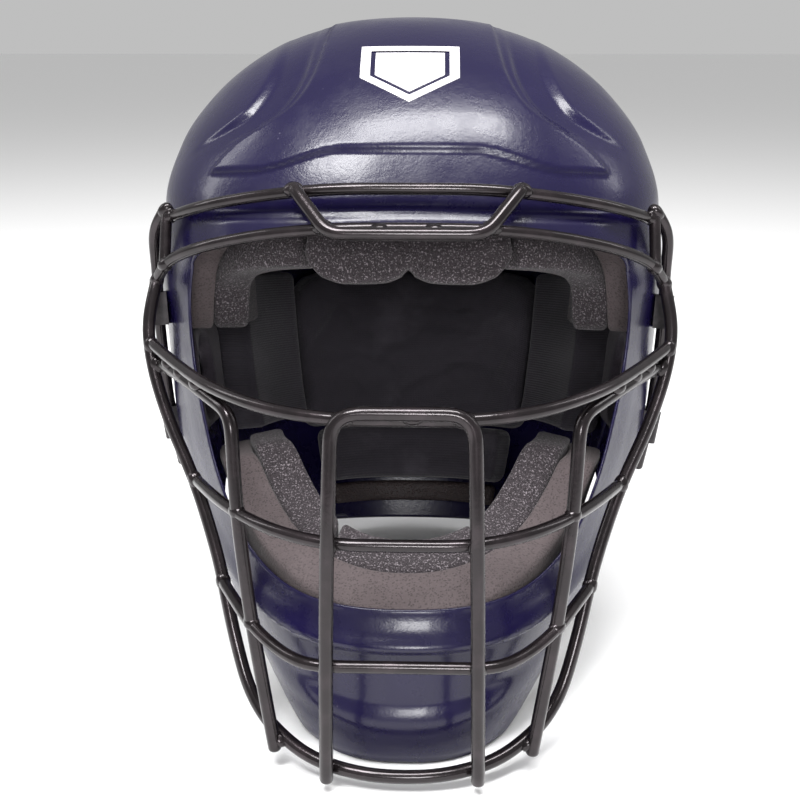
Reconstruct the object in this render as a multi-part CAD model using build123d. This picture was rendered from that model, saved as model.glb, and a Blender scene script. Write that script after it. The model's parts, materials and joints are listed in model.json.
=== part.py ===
"""Hockey-style catcher's mask: two-piece helmet shell, welded wire cage, foam liner and elastic straps.

The model is laid out in a wearing frame (mm): X across the head to the wearer's left, Y to the back of the
head, Z up, with the origin on the middle plane at the level of the cage's lowest bar.  At the end the whole
mask leans back onto the foot of the cage and the nape, and the origin moves to the middle of its underside.
"""
import math
import os
from functools import cache

from build123d import *

# --- Shell: levels of the egg-shaped hull -----------------------------------------------------------------
# (height, front, back, half width, widest at, fullness, flare of the shells past the jaw padding)
HULL_LEVELS = [
    (-24, -104, 96, 46, 20, 2.50, 0),
    (0, -112, 112, 60, 20, 2.50, 0),
    (30, -118, 120, 73, 20, 2.40, 3),
    (60, -119, 129, 82, 18, 2.35, 9),
    (95, -117, 138, 92, 15, 2.35, 11),
    (130, -113, 144, 103, 12, 2.40, 9),
    (170, -108, 148, 113, 10, 2.50, 3),
    (205, -101, 148, 118, 8, 2.60, 0),
    (235, -93, 143, 118, 8, 2.50, 0),
    (262, -82, 130, 111, 8, 2.35, 0),
    (285, -66, 110, 96, 8, 2.20, 0),
    (303, -47, 84, 75, 6, 2.10, 0),
    (315, -27, 56, 52, 6, 2.00, 0),
    (321, -6, 26, 25, 8, 2.00, 0),
]
SECTION_POINTS = 28
SHELL_WALL = 3.2
PAD_GAP = 0.8  # air between the shell and the liner
FIRM_FOAM = 15.5
COMFORT_FOAM = 16.0
EAR_FOAM = 8.0
REAR_FOAM = 22.0

# Face opening seen from the front (half width, height), from the brow to the chin
OPENING_TOP = 223
OPENING_OUTLINE = [(62, 220), (93, 211), (100, 192), (99, 165), (93, 135), (84, 105), (70, 83), (45, 70)]
OPENING_CHIN = 67
OPENING_BACK = -6.0  # the opening cuts only what lies in front of this
# Lower rim and the seam between the shells seen from the side (back, height)
FRONT_RIM = [(-104, 1), (-92, 4), (-62, 27), (-25, 60), (20, 88), (48, 98)]
REAR_RIM = [(44, 98), (66, 73), (88, 57), (110, 49), (130, 47)]
SEAM_BACK = 44.0
SEAM_WIDTH = 5.0
EAR_SLOT = (30, 7)  # length, height
EAR_SLOT_CENTRES = [(6, 128), (6, 142), (6, 156)]
CROWN_VENT = (10, 38)  # width, length
CROWN_VENT_CENTRES = [(-34, 6), (34, 6)]
REAR_VENT = (12, 46)  # width, height
REAR_VENT_CENTRES = [(-36, 205), (36, 205)]

# --- Cage: wire gauges and the route of each wire's axis (half of it, from the middle outwards) ------------
HEAVY_WIRE = 5.6
LIGHT_WIRE = 5.0
WIRE_END_ROUND = 1.6
UPPER_BROW = [(30, -98.5, 237.5), (60, -92, 235), (88, -79, 231), (105, -60, 227)]
LOWER_BROW = [(30, -106.5, 221.5), (60, -98, 219), (88, -84, 214), (105, -68, 208), (112.5, -57, 199)]
BROW_GUARD = [(31, -111.2, 219.3), (46.5, -97.5, 240)]
OUTER_LOOP = [(15, -129.5, 3), (40, -122, 7), (59, -107, 17), (67, -101, 29), (74, -95, 52), (81, -86, 80),
              (92.5, -76, 111), (105.5, -70, 138), (113, -66, 160), (116, -63, 180), (112.5, -57, 199)]
EYE_BAR = [(28, -146, 151), (55, -135, 153.5), (80, -113, 159), (98, -87, 165), (113, -66, 171.5)]
CENTRE_HOOP = [(26.5, -150, 154), (28, -151.7, 104), (29, -147, 54), (30.5, -130.5, 1)]
SIDE_HOOP = [(109, -66.5, 163), (94, -92, 160), (69, -119.5, 149), (67, -120, 108), (62, -119, 64),
             (53, -116.5, 7)]
MOUTH_BAR = [(27, -147, 103.5), (50, -137, 106), (67.5, -120, 109), (80, -101, 111), (92, -78, 113)]
CHIN_BAR = [(38, -142, 54), (52, -129, 57), (63, -118.5, 63), (79, -89.5, 71)]
SIDE_WIRE_TOP = [(107.5, -60, 230), (115, -53, 221)]
SIDE_WIRE_RUN = [(-46, 204), (-41, 186), (-36, 160), (-31, 133), (-28, 110)]  # back, height along the shell
SIDE_WIRE_STANDOFF = 4.6  # from the shell to the wire's axis
BROW_POST = [(106.5, -60.5, 229), (106.5, -66.5, 206)]
GUARD_CORNER = 8.0
HOOP_CORNER = 9.0
BEND_FILL = 0.45  # share of the shorter run that a gentle bend takes up

# --- Cage fixings: the clips hook over the side wires at these heights -------------------------------------
CLIP_LEVELS = [("temple", 186), ("jaw", 132)]
CLIP_WIDTH = 15.0
CLIP_REACH = 17.0
CLIP_SHEET = 1.6
CLIP_HOLE_SETBACK = 11.5
SCREW_SHANK = 4.8
SCREW_HEAD = 9.0
SCREW_HEAD_HEIGHT = 3.0
SCREW_LENGTH = 8.2
SCREW_RECESS = 1.0
NUT_FLANGE = 13.0
NUT_SHEET = 1.2
NUT_BARREL = 6.6
NUT_CLEARANCE = 1.0
BORE_LENGTH = 20.0
FIT_GAP = 0.1
CLIP_LIFT = 0.5  # a flat clip on a curved shell

# --- Liner outlines ---------------------------------------------------------------------------------------
BROW_FIRM_OUTLINE = [(-50, 222), (50, 222), (50, 262), (-50, 262)]
BROW_COMFORT_OUTLINE = [(-50, 262), (-50, 212), (-44, 203), (-33, 199.5), (-14, 199.5), (-4, 202), (0, 206),
                        (4, 202), (14, 199.5), (33, 199.5), (44, 203), (50, 212), (50, 262)]
TEMPLE_FIRM_OUTLINE = [(130, 176), (84, 176), (80, 200), (70, 214), (51, 222), (51, 262), (130, 262)]
TEMPLE_COMFORT_OUTLINE = [(130, 176), (62, 176), (60, 200), (51, 207), (51, 262), (130, 262)]
TEMPLE_RELIEF = [(-120, 150), (-120, 211), (-64, 211), (-46, 196), (-46, 150)]  # open in front of the temples
EAR_OUTLINE = [(60, 125), (130, 125), (130, 175.4), (60, 175.4)]
EAR_PORT = 44.0
EAR_PORT_CENTRE = (6, 150)
PAD_FRONT = -46.0
PAD_BACK = 40.0
CROWN_CUT = [(-62, 264), (-62, 330), (38, 330), (38, 264)]
CROWN_PAD_HALF = 50.0
NUT_POCKET_DEPTH = 4.5
JAW_CUT = [(-118, 30), (-118, 66), (-98, 77), (-72, 92), (-57, 106), (-50, 116), (-12, 116), (-12, 78),
           (-48, 50), (-78, 26)]
COMFORT_CUT = [(-104, 40), (-104, 75), (-84, 83), (-66, 94), (-54, 108), (-47, 120), (-16, 120), (-20, 90),
               (-52, 66), (-74, 42)]
CHEEK_INNER = 33.0
CHIN_PAD_HALF = 30.5
REAR_PAD_FRONT = 58.0
REAR_PAD_OUTLINE = [(-68, 104), (68, 104), (68, 190), (60, 200), (-60, 200), (-68, 190)]
REAR_LOWER_OUTLINE = [(-58, 70), (58, 70), (62, 103), (-62, 103)]
NAPE_TRIM_OUTLINE = [(-50, 56), (50, 56), (53, 69), (-53, 69)]
REAR_SIDE_FRONT = 52.0
REAR_SIDE_OUTLINE = [(69, 112), (130, 112), (130, 200), (69, 200)]

# --- Straps -----------------------------------------------------------------------------------------------
STRAP_WIDTH = 22.0
STRAP_SHEET = 1.6
STRAP_LIFT = 0.4  # air between a strap and the shells
STRAP_FRONT = 24.0
STRAP_BACK = 74.0
SIDE_STRAP_HEIGHT = 190.0
RIVET_HEAD = 8.5
RIVET_SHANK = 4.0
RIVET_HEAD_HEIGHT = 1.8
RIVET_DOME = 0.6  # share of the head's height that is rounded
RIVET_INSET = 7.0
RIVET_LIFT = 0.6  # the head stands off the strap
STRAP_HOLE_GAP = 0.6  # the strap's hole is loose on the rivet

# --- Decal and stance -------------------------------------------------------------------------------------
DECAL_SHEET = 0.4
DECAL_CENTRE_HEIGHT = 287.0
DECAL_OUTLINE = [(-21, 12), (21, 12), (21, -3), (0, -14), (-21, -3)]
LEAN_BACK = 10.0
FAR = 400.0  # reaches past the whole mask
PROBE = 0.5  # half the step over which a slope is read

nodes = {}


# --- Small helpers ----------------------------------------------------------------------------------------
def mirrored(shape):
    """The same piece on the other side of the head."""
    return mirror(shape, about=Plane.YZ)


def add(name, shape):
    """Keep one sub-part under its node name."""
    shape.label = name
    nodes[name] = shape


def add_pair(name, left):
    """Keep a left piece and its mirror image."""
    add(f"{name}_left", left)
    add(f"{name}_right", mirrored(left))


def side_prism(points, near=-FAR, far=FAR):
    """A prism along X over an outline given as (back, height)."""
    outline = make_face(Polyline(*[(0, y, z) for y, z in points], close=True))
    return Pos(near, 0, 0) * extrude(outline, amount=far - near, dir=(1, 0, 0))


def front_prism(points, near=-FAR, far=FAR):
    """A prism along Y over an outline given as (across, height)."""
    outline = make_face(Polyline(*[(x, 0, z) for x, z in points], close=True))
    return Pos(0, near, 0) * extrude(outline, amount=far - near, dir=(0, 1, 0))


def block(low, high):
    """A box between two corners."""
    size = [b - a for a, b in zip(low, high)]
    centre = [(a + b) / 2 for a, b in zip(low, high)]
    return Pos(*centre) * Box(*size)


# --- Hull -------------------------------------------------------------------------------------------------
def hull_slope(index):
    """Unit normal (outwards, up) of the hull's side profile at one level."""
    below = HULL_LEVELS[max(index - 1, 0)]
    above = HULL_LEVELS[min(index + 1, len(HULL_LEVELS) - 1)]
    reach = [(level[3] + (level[2] - level[1]) / 2) / 2 for level in (below, above)]
    rise = above[0] - below[0]
    run = reach[0] - reach[1]
    length = math.hypot(rise, run)
    return rise / length, run / length


def hull_section(index, inset, flared):
    """One closed level line of the hull, moved inwards by the inset."""
    height, front, back, half, widest, fullness, flare = HULL_LEVELS[index]
    half += flare if flared else 0
    outwards, up = hull_slope(index)
    shrink = inset * outwards
    points = []
    for step in range(SECTION_POINTS):
        turn = 2 * math.pi * step / SECTION_POINTS
        across, along = math.cos(turn), math.sin(turn)
        depth = (widest - front if along < 0 else back - widest) - shrink
        x = (half - shrink) * math.copysign(abs(across) ** (2 / fullness), across)
        y = widest + depth * math.copysign(abs(along) ** (2 / fullness), along)
        points.append((x, y, height - inset * up))
    return make_face(Spline(*points, periodic=True))


@cache
def hull(inset, flared=True):
    """The solid hull, moved inwards by the inset; the shells flare out past the jaw padding."""
    return loft([hull_section(index, inset, flared) for index in range(len(HULL_LEVELS))])


def side_skin(y, height):
    """Half width of the shell's skin at a place along the head."""
    hits = hull(0).find_intersection_points(Axis((0, y, height), (1, 0, 0)))
    return max(point.X for point, _ in hits)


def crown_skin(y):
    """Height of the shell's skin on the middle line."""
    hits = hull(0).find_intersection_points(Axis((0, y, 0), (0, 0, 1)))
    return max(point.Z for point, _ in hits)


# --- Shells -----------------------------------------------------------------------------------------------
def opening_prism():
    """The face opening as a rounded prism along Y."""
    right = [(-x, z) for x, z in reversed(OPENING_OUTLINE)]
    points = [(0, OPENING_TOP), *OPENING_OUTLINE, (0, OPENING_CHIN), *right]
    ring = Spline(*[(x, OPENING_BACK, z) for x, z in points], periodic=True)
    return extrude(make_face(ring), amount=FAR, dir=(0, -1, 0))


def below_rim(rim):
    """Everything under a shell's lower rim."""
    return side_prism([(-FAR, -FAR), (-FAR, rim[0][1]), *rim, (FAR, rim[-1][1]), (FAR, -FAR)])


def make_shells():
    """Front shell with the face opening and rear shell, parted by the seam."""
    wall = hull(0) - hull(SHELL_WALL)
    front_half = block((-FAR, -FAR, -FAR), (FAR, SEAM_BACK, FAR))
    rear_half = block((-FAR, SEAM_BACK + SEAM_WIDTH, -FAR), (FAR, FAR, FAR))
    front = (wall & front_half) - opening_prism() - below_rim(FRONT_RIM)
    rear = (wall & rear_half) - below_rim(REAR_RIM)
    for y, z in EAR_SLOT_CENTRES:
        slot = Plane.YZ * Pos(y, z) * SlotOverall(*EAR_SLOT)
        front -= extrude(slot, amount=FAR, both=True)
    for x, y in CROWN_VENT_CENTRES:
        vent = Plane.XY * Pos(x, y) * SlotOverall(CROWN_VENT[1], CROWN_VENT[0], rotation=90)
        front -= Pos(0, 0, OPENING_TOP) * extrude(vent, amount=FAR)
    for x, z in REAR_VENT_CENTRES:
        vent = Plane.XZ * Pos(x, z) * SlotOverall(REAR_VENT[1], REAR_VENT[0], rotation=90)
        rear -= extrude(vent, amount=-FAR)
    return front, rear


# --- Cage -------------------------------------------------------------------------------------------------
def side_wire_route():
    """Route of the side wire: off the brow, then down along the shell at a constant distance."""
    run = [(side_skin(y, z) + SIDE_WIRE_STANDOFF, y, z) for y, z in SIDE_WIRE_RUN]
    return SIDE_WIRE_TOP + run


def bend_radii(points, corner):
    """Radius of each bend: gentle bends fill their runs, a corner is held to its own radius."""
    radii = []
    for before, here, after in zip(points, points[1:], points[2:]):
        first, second = Vector(*here) - Vector(*before), Vector(*after) - Vector(*here)
        turn = math.radians(first.get_angle(second))
        widest = BEND_FILL * min(first.length, second.length) / math.tan(turn / 2)
        radii.append(min(widest, corner) if corner and turn > math.pi / 5 else widest)
    return radii


def wire(points, gauge, corner=None):
    """A round wire along straight runs joined by tangent arcs, its cut ends rounded over."""
    path = FilletPolyline(*points, radius=bend_radii(points, corner)) if len(points) > 2 else Line(*points)
    section = Plane(origin=path @ 0, z_dir=path % 0) * Circle(gauge / 2)
    tube = sweep(section, path=path)
    ends = [edge for edge in tube.edges().filter_by(GeomType.CIRCLE)
            if min((edge.center() - path @ t).length for t in (0, 1)) < gauge / 4]
    return fillet(ends, WIRE_END_ROUND) if len(ends) == 2 else tube


def across(half):
    """A whole route from the half that is given from the middle outwards."""
    return [(-x, y, z) for x, y, z in reversed(half)] + list(half)


def make_cage():
    """Every wire of the cage as its own piece."""
    add("upper_brow_bar", wire(across(UPPER_BROW), LIGHT_WIRE))
    add("lower_brow_bar", wire(across(LOWER_BROW), LIGHT_WIRE))
    add("brow_guard_wire", wire(across(BROW_GUARD), HEAVY_WIRE, GUARD_CORNER))
    add("outer_loop", wire(across(OUTER_LOOP), HEAVY_WIRE))
    add("eye_bar", wire(across(EYE_BAR), LIGHT_WIRE))
    add("centre_hoop", wire(across(CENTRE_HOOP), HEAVY_WIRE, HOOP_CORNER))
    add("mouth_bar", wire(across(MOUTH_BAR), LIGHT_WIRE))
    add("chin_bar", wire(across(CHIN_BAR), LIGHT_WIRE))
    add_pair("side_hoop", wire(SIDE_HOOP, HEAVY_WIRE, HOOP_CORNER))
    add_pair("side_wire", wire(side_wire_route(), LIGHT_WIRE))
    add_pair("brow_post", wire(BROW_POST, LIGHT_WIRE))


# --- Cage fixings -----------------------------------------------------------------------------------------
def skin_plane(y, height):
    """Axes on the shell's left skin: X to the back, Y up along the skin, Z straight out."""
    half_reach = CLIP_WIDTH / 2
    rise = Vector(side_skin(y, height + half_reach) - side_skin(y, height - half_reach), 0, CLIP_WIDTH)
    back = Vector(side_skin(y + CLIP_REACH, height) - side_skin(y, height), CLIP_REACH, 0)
    out = back.cross(rise).normalized()
    return Plane(origin=(side_skin(y, height), y, height), x_dir=back, z_dir=out)


def clip_plane(height):
    """The skin plane under the side wire at a clip's height."""
    upper, lower = [(a, b) for a, b in zip(SIDE_WIRE_RUN, SIDE_WIRE_RUN[1:]) if b[1] <= height <= a[1]][0]
    part = (height - lower[1]) / (upper[1] - lower[1])
    return skin_plane(lower[0] + part * (upper[0] - lower[0]), height)


def make_clip():
    """Bent strap that hooks over the side wire and lies on the shell, with a screw hole."""
    outer = LIGHT_WIRE / 2 + FIT_GAP + CLIP_SHEET
    inner = LIGHT_WIRE / 2 + FIT_GAP
    rise = SIDE_WIRE_STANDOFF - CLIP_LIFT
    solid_hump = Rot(90, 0, 0) * Cylinder(outer, CLIP_WIDTH)
    skirt = Pos(0, 0, -rise / 2) * Box(2 * outer, CLIP_WIDTH, rise)
    bore = Rot(90, 0, 0) * Cylinder(inner, 2 * CLIP_WIDTH)
    slot = Pos(0, 0, -rise / 2) * Box(2 * inner, 2 * CLIP_WIDTH, rise)
    hook = Pos(0, 0, rise) * (solid_hump + skirt - bore - slot)
    tongue = Box(CLIP_REACH, CLIP_WIDTH, CLIP_SHEET, align=(Align.MIN, Align.CENTER, Align.MIN))
    hole = Pos(CLIP_HOLE_SETBACK, 0, 0) * Cylinder(SCREW_SHANK / 2 + FIT_GAP, FAR)
    return Pos(0, 0, CLIP_LIFT) * (hook + Pos(inner, 0, 0) * tongue - hole)


def make_screw():
    """Pan-head screw with a cross recess, standing on the clip's tongue."""
    head = Pos(0, 0, SCREW_HEAD_HEIGHT / 2) * Cylinder(SCREW_HEAD / 2, SCREW_HEAD_HEIGHT)
    head = fillet(head.edges().group_by(Axis.Z)[-1], SCREW_HEAD_HEIGHT / 2)
    blade = Pos(0, 0, SCREW_HEAD_HEIGHT) * Box(SCREW_HEAD / 2, SCREW_RECESS, SCREW_HEAD_HEIGHT)
    shank = Pos(0, 0, -SCREW_LENGTH / 2) * Cylinder(SCREW_SHANK / 2, SCREW_LENGTH)
    return head + shank - blade - Rot(0, 0, 90) * blade


def make_tee_nut():
    """Flanged nut that closes the joint inside the shell."""
    flange = Pos(0, 0, -NUT_SHEET / 2) * Cylinder(NUT_FLANGE / 2, NUT_SHEET)
    barrel = Pos(0, 0, SHELL_WALL / 2) * Cylinder(NUT_BARREL / 2, SHELL_WALL)
    return flange + barrel - Cylinder(SCREW_SHANK / 2 + FIT_GAP, FAR)


def screw_seats():
    """Where the four fixings stand on the left skin, by name."""
    return {name: clip_plane(height) * Pos(CLIP_HOLE_SETBACK, 0, 0) for name, height in CLIP_LEVELS}


def make_fixings(front):
    """Clips, screws and nuts on both sides; returns the front shell with its bores."""
    for name, height in CLIP_LEVELS:
        seat = screw_seats()[name]
        bore = seat * Cylinder(NUT_BARREL / 2 + FIT_GAP, BORE_LENGTH)
        front = front - bore - mirrored(bore)
        add_pair(f"{name}_clip", clip_plane(height) * make_clip())
        add_pair(f"{name}_screw", seat * Pos(0, 0, CLIP_LIFT + CLIP_SHEET + FIT_GAP) * make_screw())
        add_pair(f"{name}_tee_nut", seat * Pos(0, 0, -SHELL_WALL - CLIP_LIFT) * make_tee_nut())
    return front


# --- Liner ------------------------------------------------------------------------------------------------
def foam_layers(flared):
    """The firm layer and, inside it, the comfort layer, before they are cut to outlines."""
    firm_outside = SHELL_WALL + PAD_GAP
    comfort_outside = firm_outside + FIRM_FOAM + PAD_GAP
    firm = hull(firm_outside, flared) - hull(firm_outside + FIRM_FOAM, flared)
    comfort = hull(comfort_outside, flared) - hull(comfort_outside + COMFORT_FOAM, flared)
    return firm, comfort


def make_liner():
    """Firm foam against the shells and soft comfort foam inside it, cut to the pad outlines."""
    skin = hull(SHELL_WALL + PAD_GAP)
    firm, comfort = foam_layers(flared=True)
    jaw_firm, jaw_comfort = foam_layers(flared=False)
    thin = skin - hull(SHELL_WALL + PAD_GAP + EAR_FOAM)
    rear_foam = skin - hull(SHELL_WALL + PAD_GAP + REAR_FOAM)
    pockets = nut_pockets()

    add("brow_firm_pad", firm & front_prism(BROW_FIRM_OUTLINE, far=0))
    add("brow_comfort_pad", comfort & front_prism(BROW_COMFORT_OUTLINE, far=0))

    temple_firm = front_prism(TEMPLE_FIRM_OUTLINE, far=PAD_BACK) - side_prism(TEMPLE_RELIEF)
    add_pair("temple_firm_pad", (firm & temple_firm) - pockets)
    temple_comfort = front_prism(TEMPLE_COMFORT_OUTLINE, far=PAD_BACK) - side_prism(TEMPLE_RELIEF)
    add_pair("temple_comfort_pad", comfort & temple_comfort)
    ear = front_prism(EAR_OUTLINE, near=PAD_FRONT, far=PAD_BACK)
    add_pair("ear_pad", (thin & ear) - pockets - ear_port())
    add("crown_pad", firm & side_prism(CROWN_CUT, near=-CROWN_PAD_HALF, far=CROWN_PAD_HALF))

    add("jaw_firm_pad", jaw_firm & side_prism(JAW_CUT))
    add_pair("cheek_comfort_pad", jaw_comfort & side_prism(COMFORT_CUT, near=CHEEK_INNER))
    add("chin_comfort_pad", jaw_comfort & side_prism(COMFORT_CUT, near=-CHIN_PAD_HALF, far=CHIN_PAD_HALF))

    add("rear_pad", rear_foam & front_prism(REAR_PAD_OUTLINE, near=REAR_PAD_FRONT))
    add("rear_lower_pad", rear_foam & front_prism(REAR_LOWER_OUTLINE, near=REAR_PAD_FRONT))
    add("nape_trim", thin & front_prism(NAPE_TRIM_OUTLINE, near=REAR_PAD_FRONT))
    add_pair("rear_side_pad", rear_foam & front_prism(REAR_SIDE_OUTLINE, near=REAR_SIDE_FRONT))


def nut_pockets():
    """Room for the nuts behind the side pads."""
    pocket = Cylinder(NUT_FLANGE / 2 + NUT_CLEARANCE, 2 * NUT_POCKET_DEPTH)
    seats = [seat * Pos(0, 0, -SHELL_WALL) * pocket for seat in screw_seats().values()]
    return seats[0] + seats[1]


def ear_port():
    """Hearing port through the ear pads."""
    port = Plane.YZ * Pos(*EAR_PORT_CENTRE) * Circle(EAR_PORT / 2)
    return extrude(port, amount=FAR)


# --- Straps -----------------------------------------------------------------------------------------------
def make_rivet():
    """Dome-headed rivet through a strap end and the shell, its seat on the shell's skin."""
    head = Cylinder(RIVET_HEAD / 2, RIVET_HEAD_HEIGHT, align=(Align.CENTER, Align.CENTER, Align.MIN))
    head = fillet(head.edges().group_by(Axis.Z)[-1], RIVET_HEAD_HEIGHT * RIVET_DOME)
    seat = STRAP_LIFT + STRAP_SHEET + RIVET_LIFT
    return Pos(0, 0, seat) * head + Cylinder(RIVET_SHANK / 2, 2 * seat)


def crown_plane(y):
    """Axes on the crown's middle line: X to the back, Z straight out."""
    back = Vector(0, 2 * PROBE, crown_skin(y + PROBE) - crown_skin(y - PROBE))
    return Plane(origin=(0, y, crown_skin(y)), x_dir=back, z_dir=Vector(1, 0, 0).cross(back))


def make_straps():
    """Elastic straps over the seam, and their rivets; returns the cutter for the rivet holes."""
    band = hull(-STRAP_LIFT - STRAP_SHEET) - hull(-STRAP_LIFT)
    half = STRAP_WIDTH / 2
    ends = (STRAP_FRONT + RIVET_INSET, STRAP_BACK - RIVET_INSET)
    depth = 2 * (SHELL_WALL + STRAP_LIFT + STRAP_SHEET)
    hole = Cylinder(RIVET_SHANK / 2 + FIT_GAP, depth)
    strap_hole = Cylinder(RIVET_SHANK / 2 + STRAP_HOLE_GAP, depth)
    seats = {
        "top_strap": [crown_plane(y) for y in ends],
        "side_strap": [skin_plane(y, SIDE_STRAP_HEIGHT) for y in ends],
    }
    low, high = SIDE_STRAP_HEIGHT - half, SIDE_STRAP_HEIGHT + half
    top = band & block((-half, STRAP_FRONT, OPENING_TOP), (half, STRAP_BACK, FAR))
    side = band & block((CROWN_PAD_HALF, STRAP_FRONT, low), (FAR, STRAP_BACK, high))
    for seat in seats["top_strap"]:
        top -= seat * strap_hole
    for seat in seats["side_strap"]:
        side -= seat * strap_hole
    holes = [seat * hole for pair in seats.values() for seat in pair]
    holes += [mirrored(drilled) for drilled in holes[len(ends):]]
    add("top_strap", top)
    add_pair("side_strap", side)
    for end, seat in zip(("front", "rear"), seats["top_strap"]):
        add(f"top_{end}_rivet", seat * make_rivet())
    for end, seat in zip(("front", "rear"), seats["side_strap"]):
        add_pair(f"side_{end}_rivet", seat * make_rivet())
    return holes


# --- Assembly ---------------------------------------------------------------------------------------------
def make_decal():
    """Plain five-sided decal on the forehead."""
    outline = [(x, DECAL_CENTRE_HEIGHT + z) for x, z in DECAL_OUTLINE]
    return (hull(-DECAL_SHEET) - hull(0)) & front_prism(outline, far=0)


def stand(shapes):
    """Lean the mask back and move the origin to the middle of its underside."""
    leaned = {name: Rot(-LEAN_BACK, 0, 0) * shape for name, shape in shapes.items()}
    boxes = [shape.bounding_box() for shape in leaned.values()]
    low = [min(getattr(box.min, axis) for box in boxes) for axis in "XYZ"]
    high = [max(getattr(box.max, axis) for box in boxes) for axis in "XYZ"]
    seat = Pos(-(low[0] + high[0]) / 2, -(low[1] + high[1]) / 2, -low[2])
    print("size", [round(b - a, 1) for a, b in zip(low, high)], "seat", seat.position)
    return {name: seat * shape for name, shape in leaned.items()}


def main():
    front, rear = make_shells()
    make_cage()
    front = make_fixings(front)
    for drilled in make_straps():
        front, rear = front - drilled, rear - drilled
    add("front_shell", front)
    add("rear_shell", rear)
    make_liner()
    add("crest_decal", make_decal())
    os.makedirs("parts", exist_ok=True)
    for name, shape in stand(nodes).items():
        export_step(shape, f"parts/{name}.step")


main()
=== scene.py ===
"""Looks of a hockey-style catcher's mask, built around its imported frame.

Shapes are worked out in the wearing frame of the mask (mm, X across, Y to the back, Z up) as functions of
two parameters, and a stance carries them into the frame's own coordinates.
"""
from __future__ import annotations

import json
import logging
import math
from collections.abc import Callable, Sequence
from dataclasses import dataclass
from enum import Enum

import bpy
import numpy as np
from mathutils import Matrix, Vector

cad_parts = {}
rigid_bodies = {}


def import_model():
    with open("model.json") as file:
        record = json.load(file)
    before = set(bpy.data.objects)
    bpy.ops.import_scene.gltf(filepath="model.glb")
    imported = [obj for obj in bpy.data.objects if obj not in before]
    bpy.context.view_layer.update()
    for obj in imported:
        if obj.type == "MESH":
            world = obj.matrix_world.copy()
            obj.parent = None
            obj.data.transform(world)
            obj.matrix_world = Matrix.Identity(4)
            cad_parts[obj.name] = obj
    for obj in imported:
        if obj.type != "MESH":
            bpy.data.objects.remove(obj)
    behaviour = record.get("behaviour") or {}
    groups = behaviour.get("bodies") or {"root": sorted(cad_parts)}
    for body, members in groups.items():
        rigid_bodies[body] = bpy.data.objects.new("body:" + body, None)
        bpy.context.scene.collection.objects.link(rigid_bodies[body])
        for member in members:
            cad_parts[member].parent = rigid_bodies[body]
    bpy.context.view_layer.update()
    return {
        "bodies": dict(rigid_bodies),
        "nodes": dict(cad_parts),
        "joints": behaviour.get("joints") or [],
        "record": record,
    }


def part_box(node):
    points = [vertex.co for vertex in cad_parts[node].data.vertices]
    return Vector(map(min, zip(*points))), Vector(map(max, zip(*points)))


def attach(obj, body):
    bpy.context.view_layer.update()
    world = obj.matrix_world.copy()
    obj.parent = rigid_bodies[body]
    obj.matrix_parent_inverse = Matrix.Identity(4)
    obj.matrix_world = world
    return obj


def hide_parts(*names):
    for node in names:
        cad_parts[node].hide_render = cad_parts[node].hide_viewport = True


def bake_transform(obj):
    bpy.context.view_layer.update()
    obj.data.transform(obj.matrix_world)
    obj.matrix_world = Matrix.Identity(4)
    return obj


LOG = logging.getLogger("mask")
MM = 0.001
FAR = 99.0
HOME = (0.0, 0.0, 160.0)
Array = np.ndarray
Points = Sequence[tuple[float, float, float]]


# --- Numbers on curves ------------------------------------------------------------------------------------
def smooth_interp(x: Array, knots: Sequence[float], values: Sequence[float]) -> Array:
    """Monotone cubic through knots: Hermite pieces whose slopes are harmonic means of the chords'.

    Args:
        x: where to read the curve; it is held at its end values outside the knots.
        knots: rising places of the known values.
        values: the known values.

    Returns:
        The curve at x.
    """
    xp, fp = np.asarray(knots, float), np.asarray(values, float)
    width, chord = np.diff(xp), np.diff(fp) / np.diff(xp)
    slope = np.empty_like(fp)
    slope[0], slope[-1] = chord[0], chord[-1]
    same = chord[:-1] * chord[1:] > 0
    total = np.where(same, chord[:-1] + chord[1:], 1.0)
    slope[1:-1] = np.where(same, 2 * chord[:-1] * chord[1:] / total, 0.0)
    place = np.clip(x, xp[0], xp[-1])
    left = np.clip(np.searchsorted(xp, place, side="right") - 1, 0, len(width) - 1)
    t = (place - xp[left]) / width[left]
    h = width[left]
    start = (1 + 2 * t) * (1 - t) ** 2 * fp[left] + t * (1 - t) ** 2 * h * slope[left]
    return start + t**2 * (3 - 2 * t) * fp[left + 1] + t**2 * (t - 1) * h * slope[left + 1]


def ease(value: Array, low: float, high: float) -> Array:
    """Smooth step from 0 at low to 1 at high; low may be the larger one."""
    t = np.clip((value - low) / (high - low), 0.0, 1.0)
    return t * t * (3 - 2 * t)


def unit(vectors: Array) -> Array:
    """Vectors scaled to length one along the last axis."""
    length = np.linalg.norm(vectors, axis=-1, keepdims=True)
    return vectors / np.maximum(length, 1e-12)


def waves(points: Array, size: float, seed: int, octaves: int = 3) -> Array:
    """Smooth lumps: a sum of sines along fixed random directions, each octave half as large.

    Args:
        points: places, with the coordinates on the last axis.
        size: length of the largest lumps.
        seed: choice of directions and phases.
        octaves: how many halvings are added.

    Returns:
        Values of about -1 to 1.
    """
    random = np.random.default_rng(seed)
    total = np.zeros(points.shape[:-1])
    for octave in range(octaves):
        for _ in range(4):
            way = unit(random.normal(size=3)) * 2 * math.pi * 2**octave / size
            total += np.sin(points @ way + random.uniform(0, 2 * math.pi)) / (4 * 2**octave)
    return total


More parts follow.
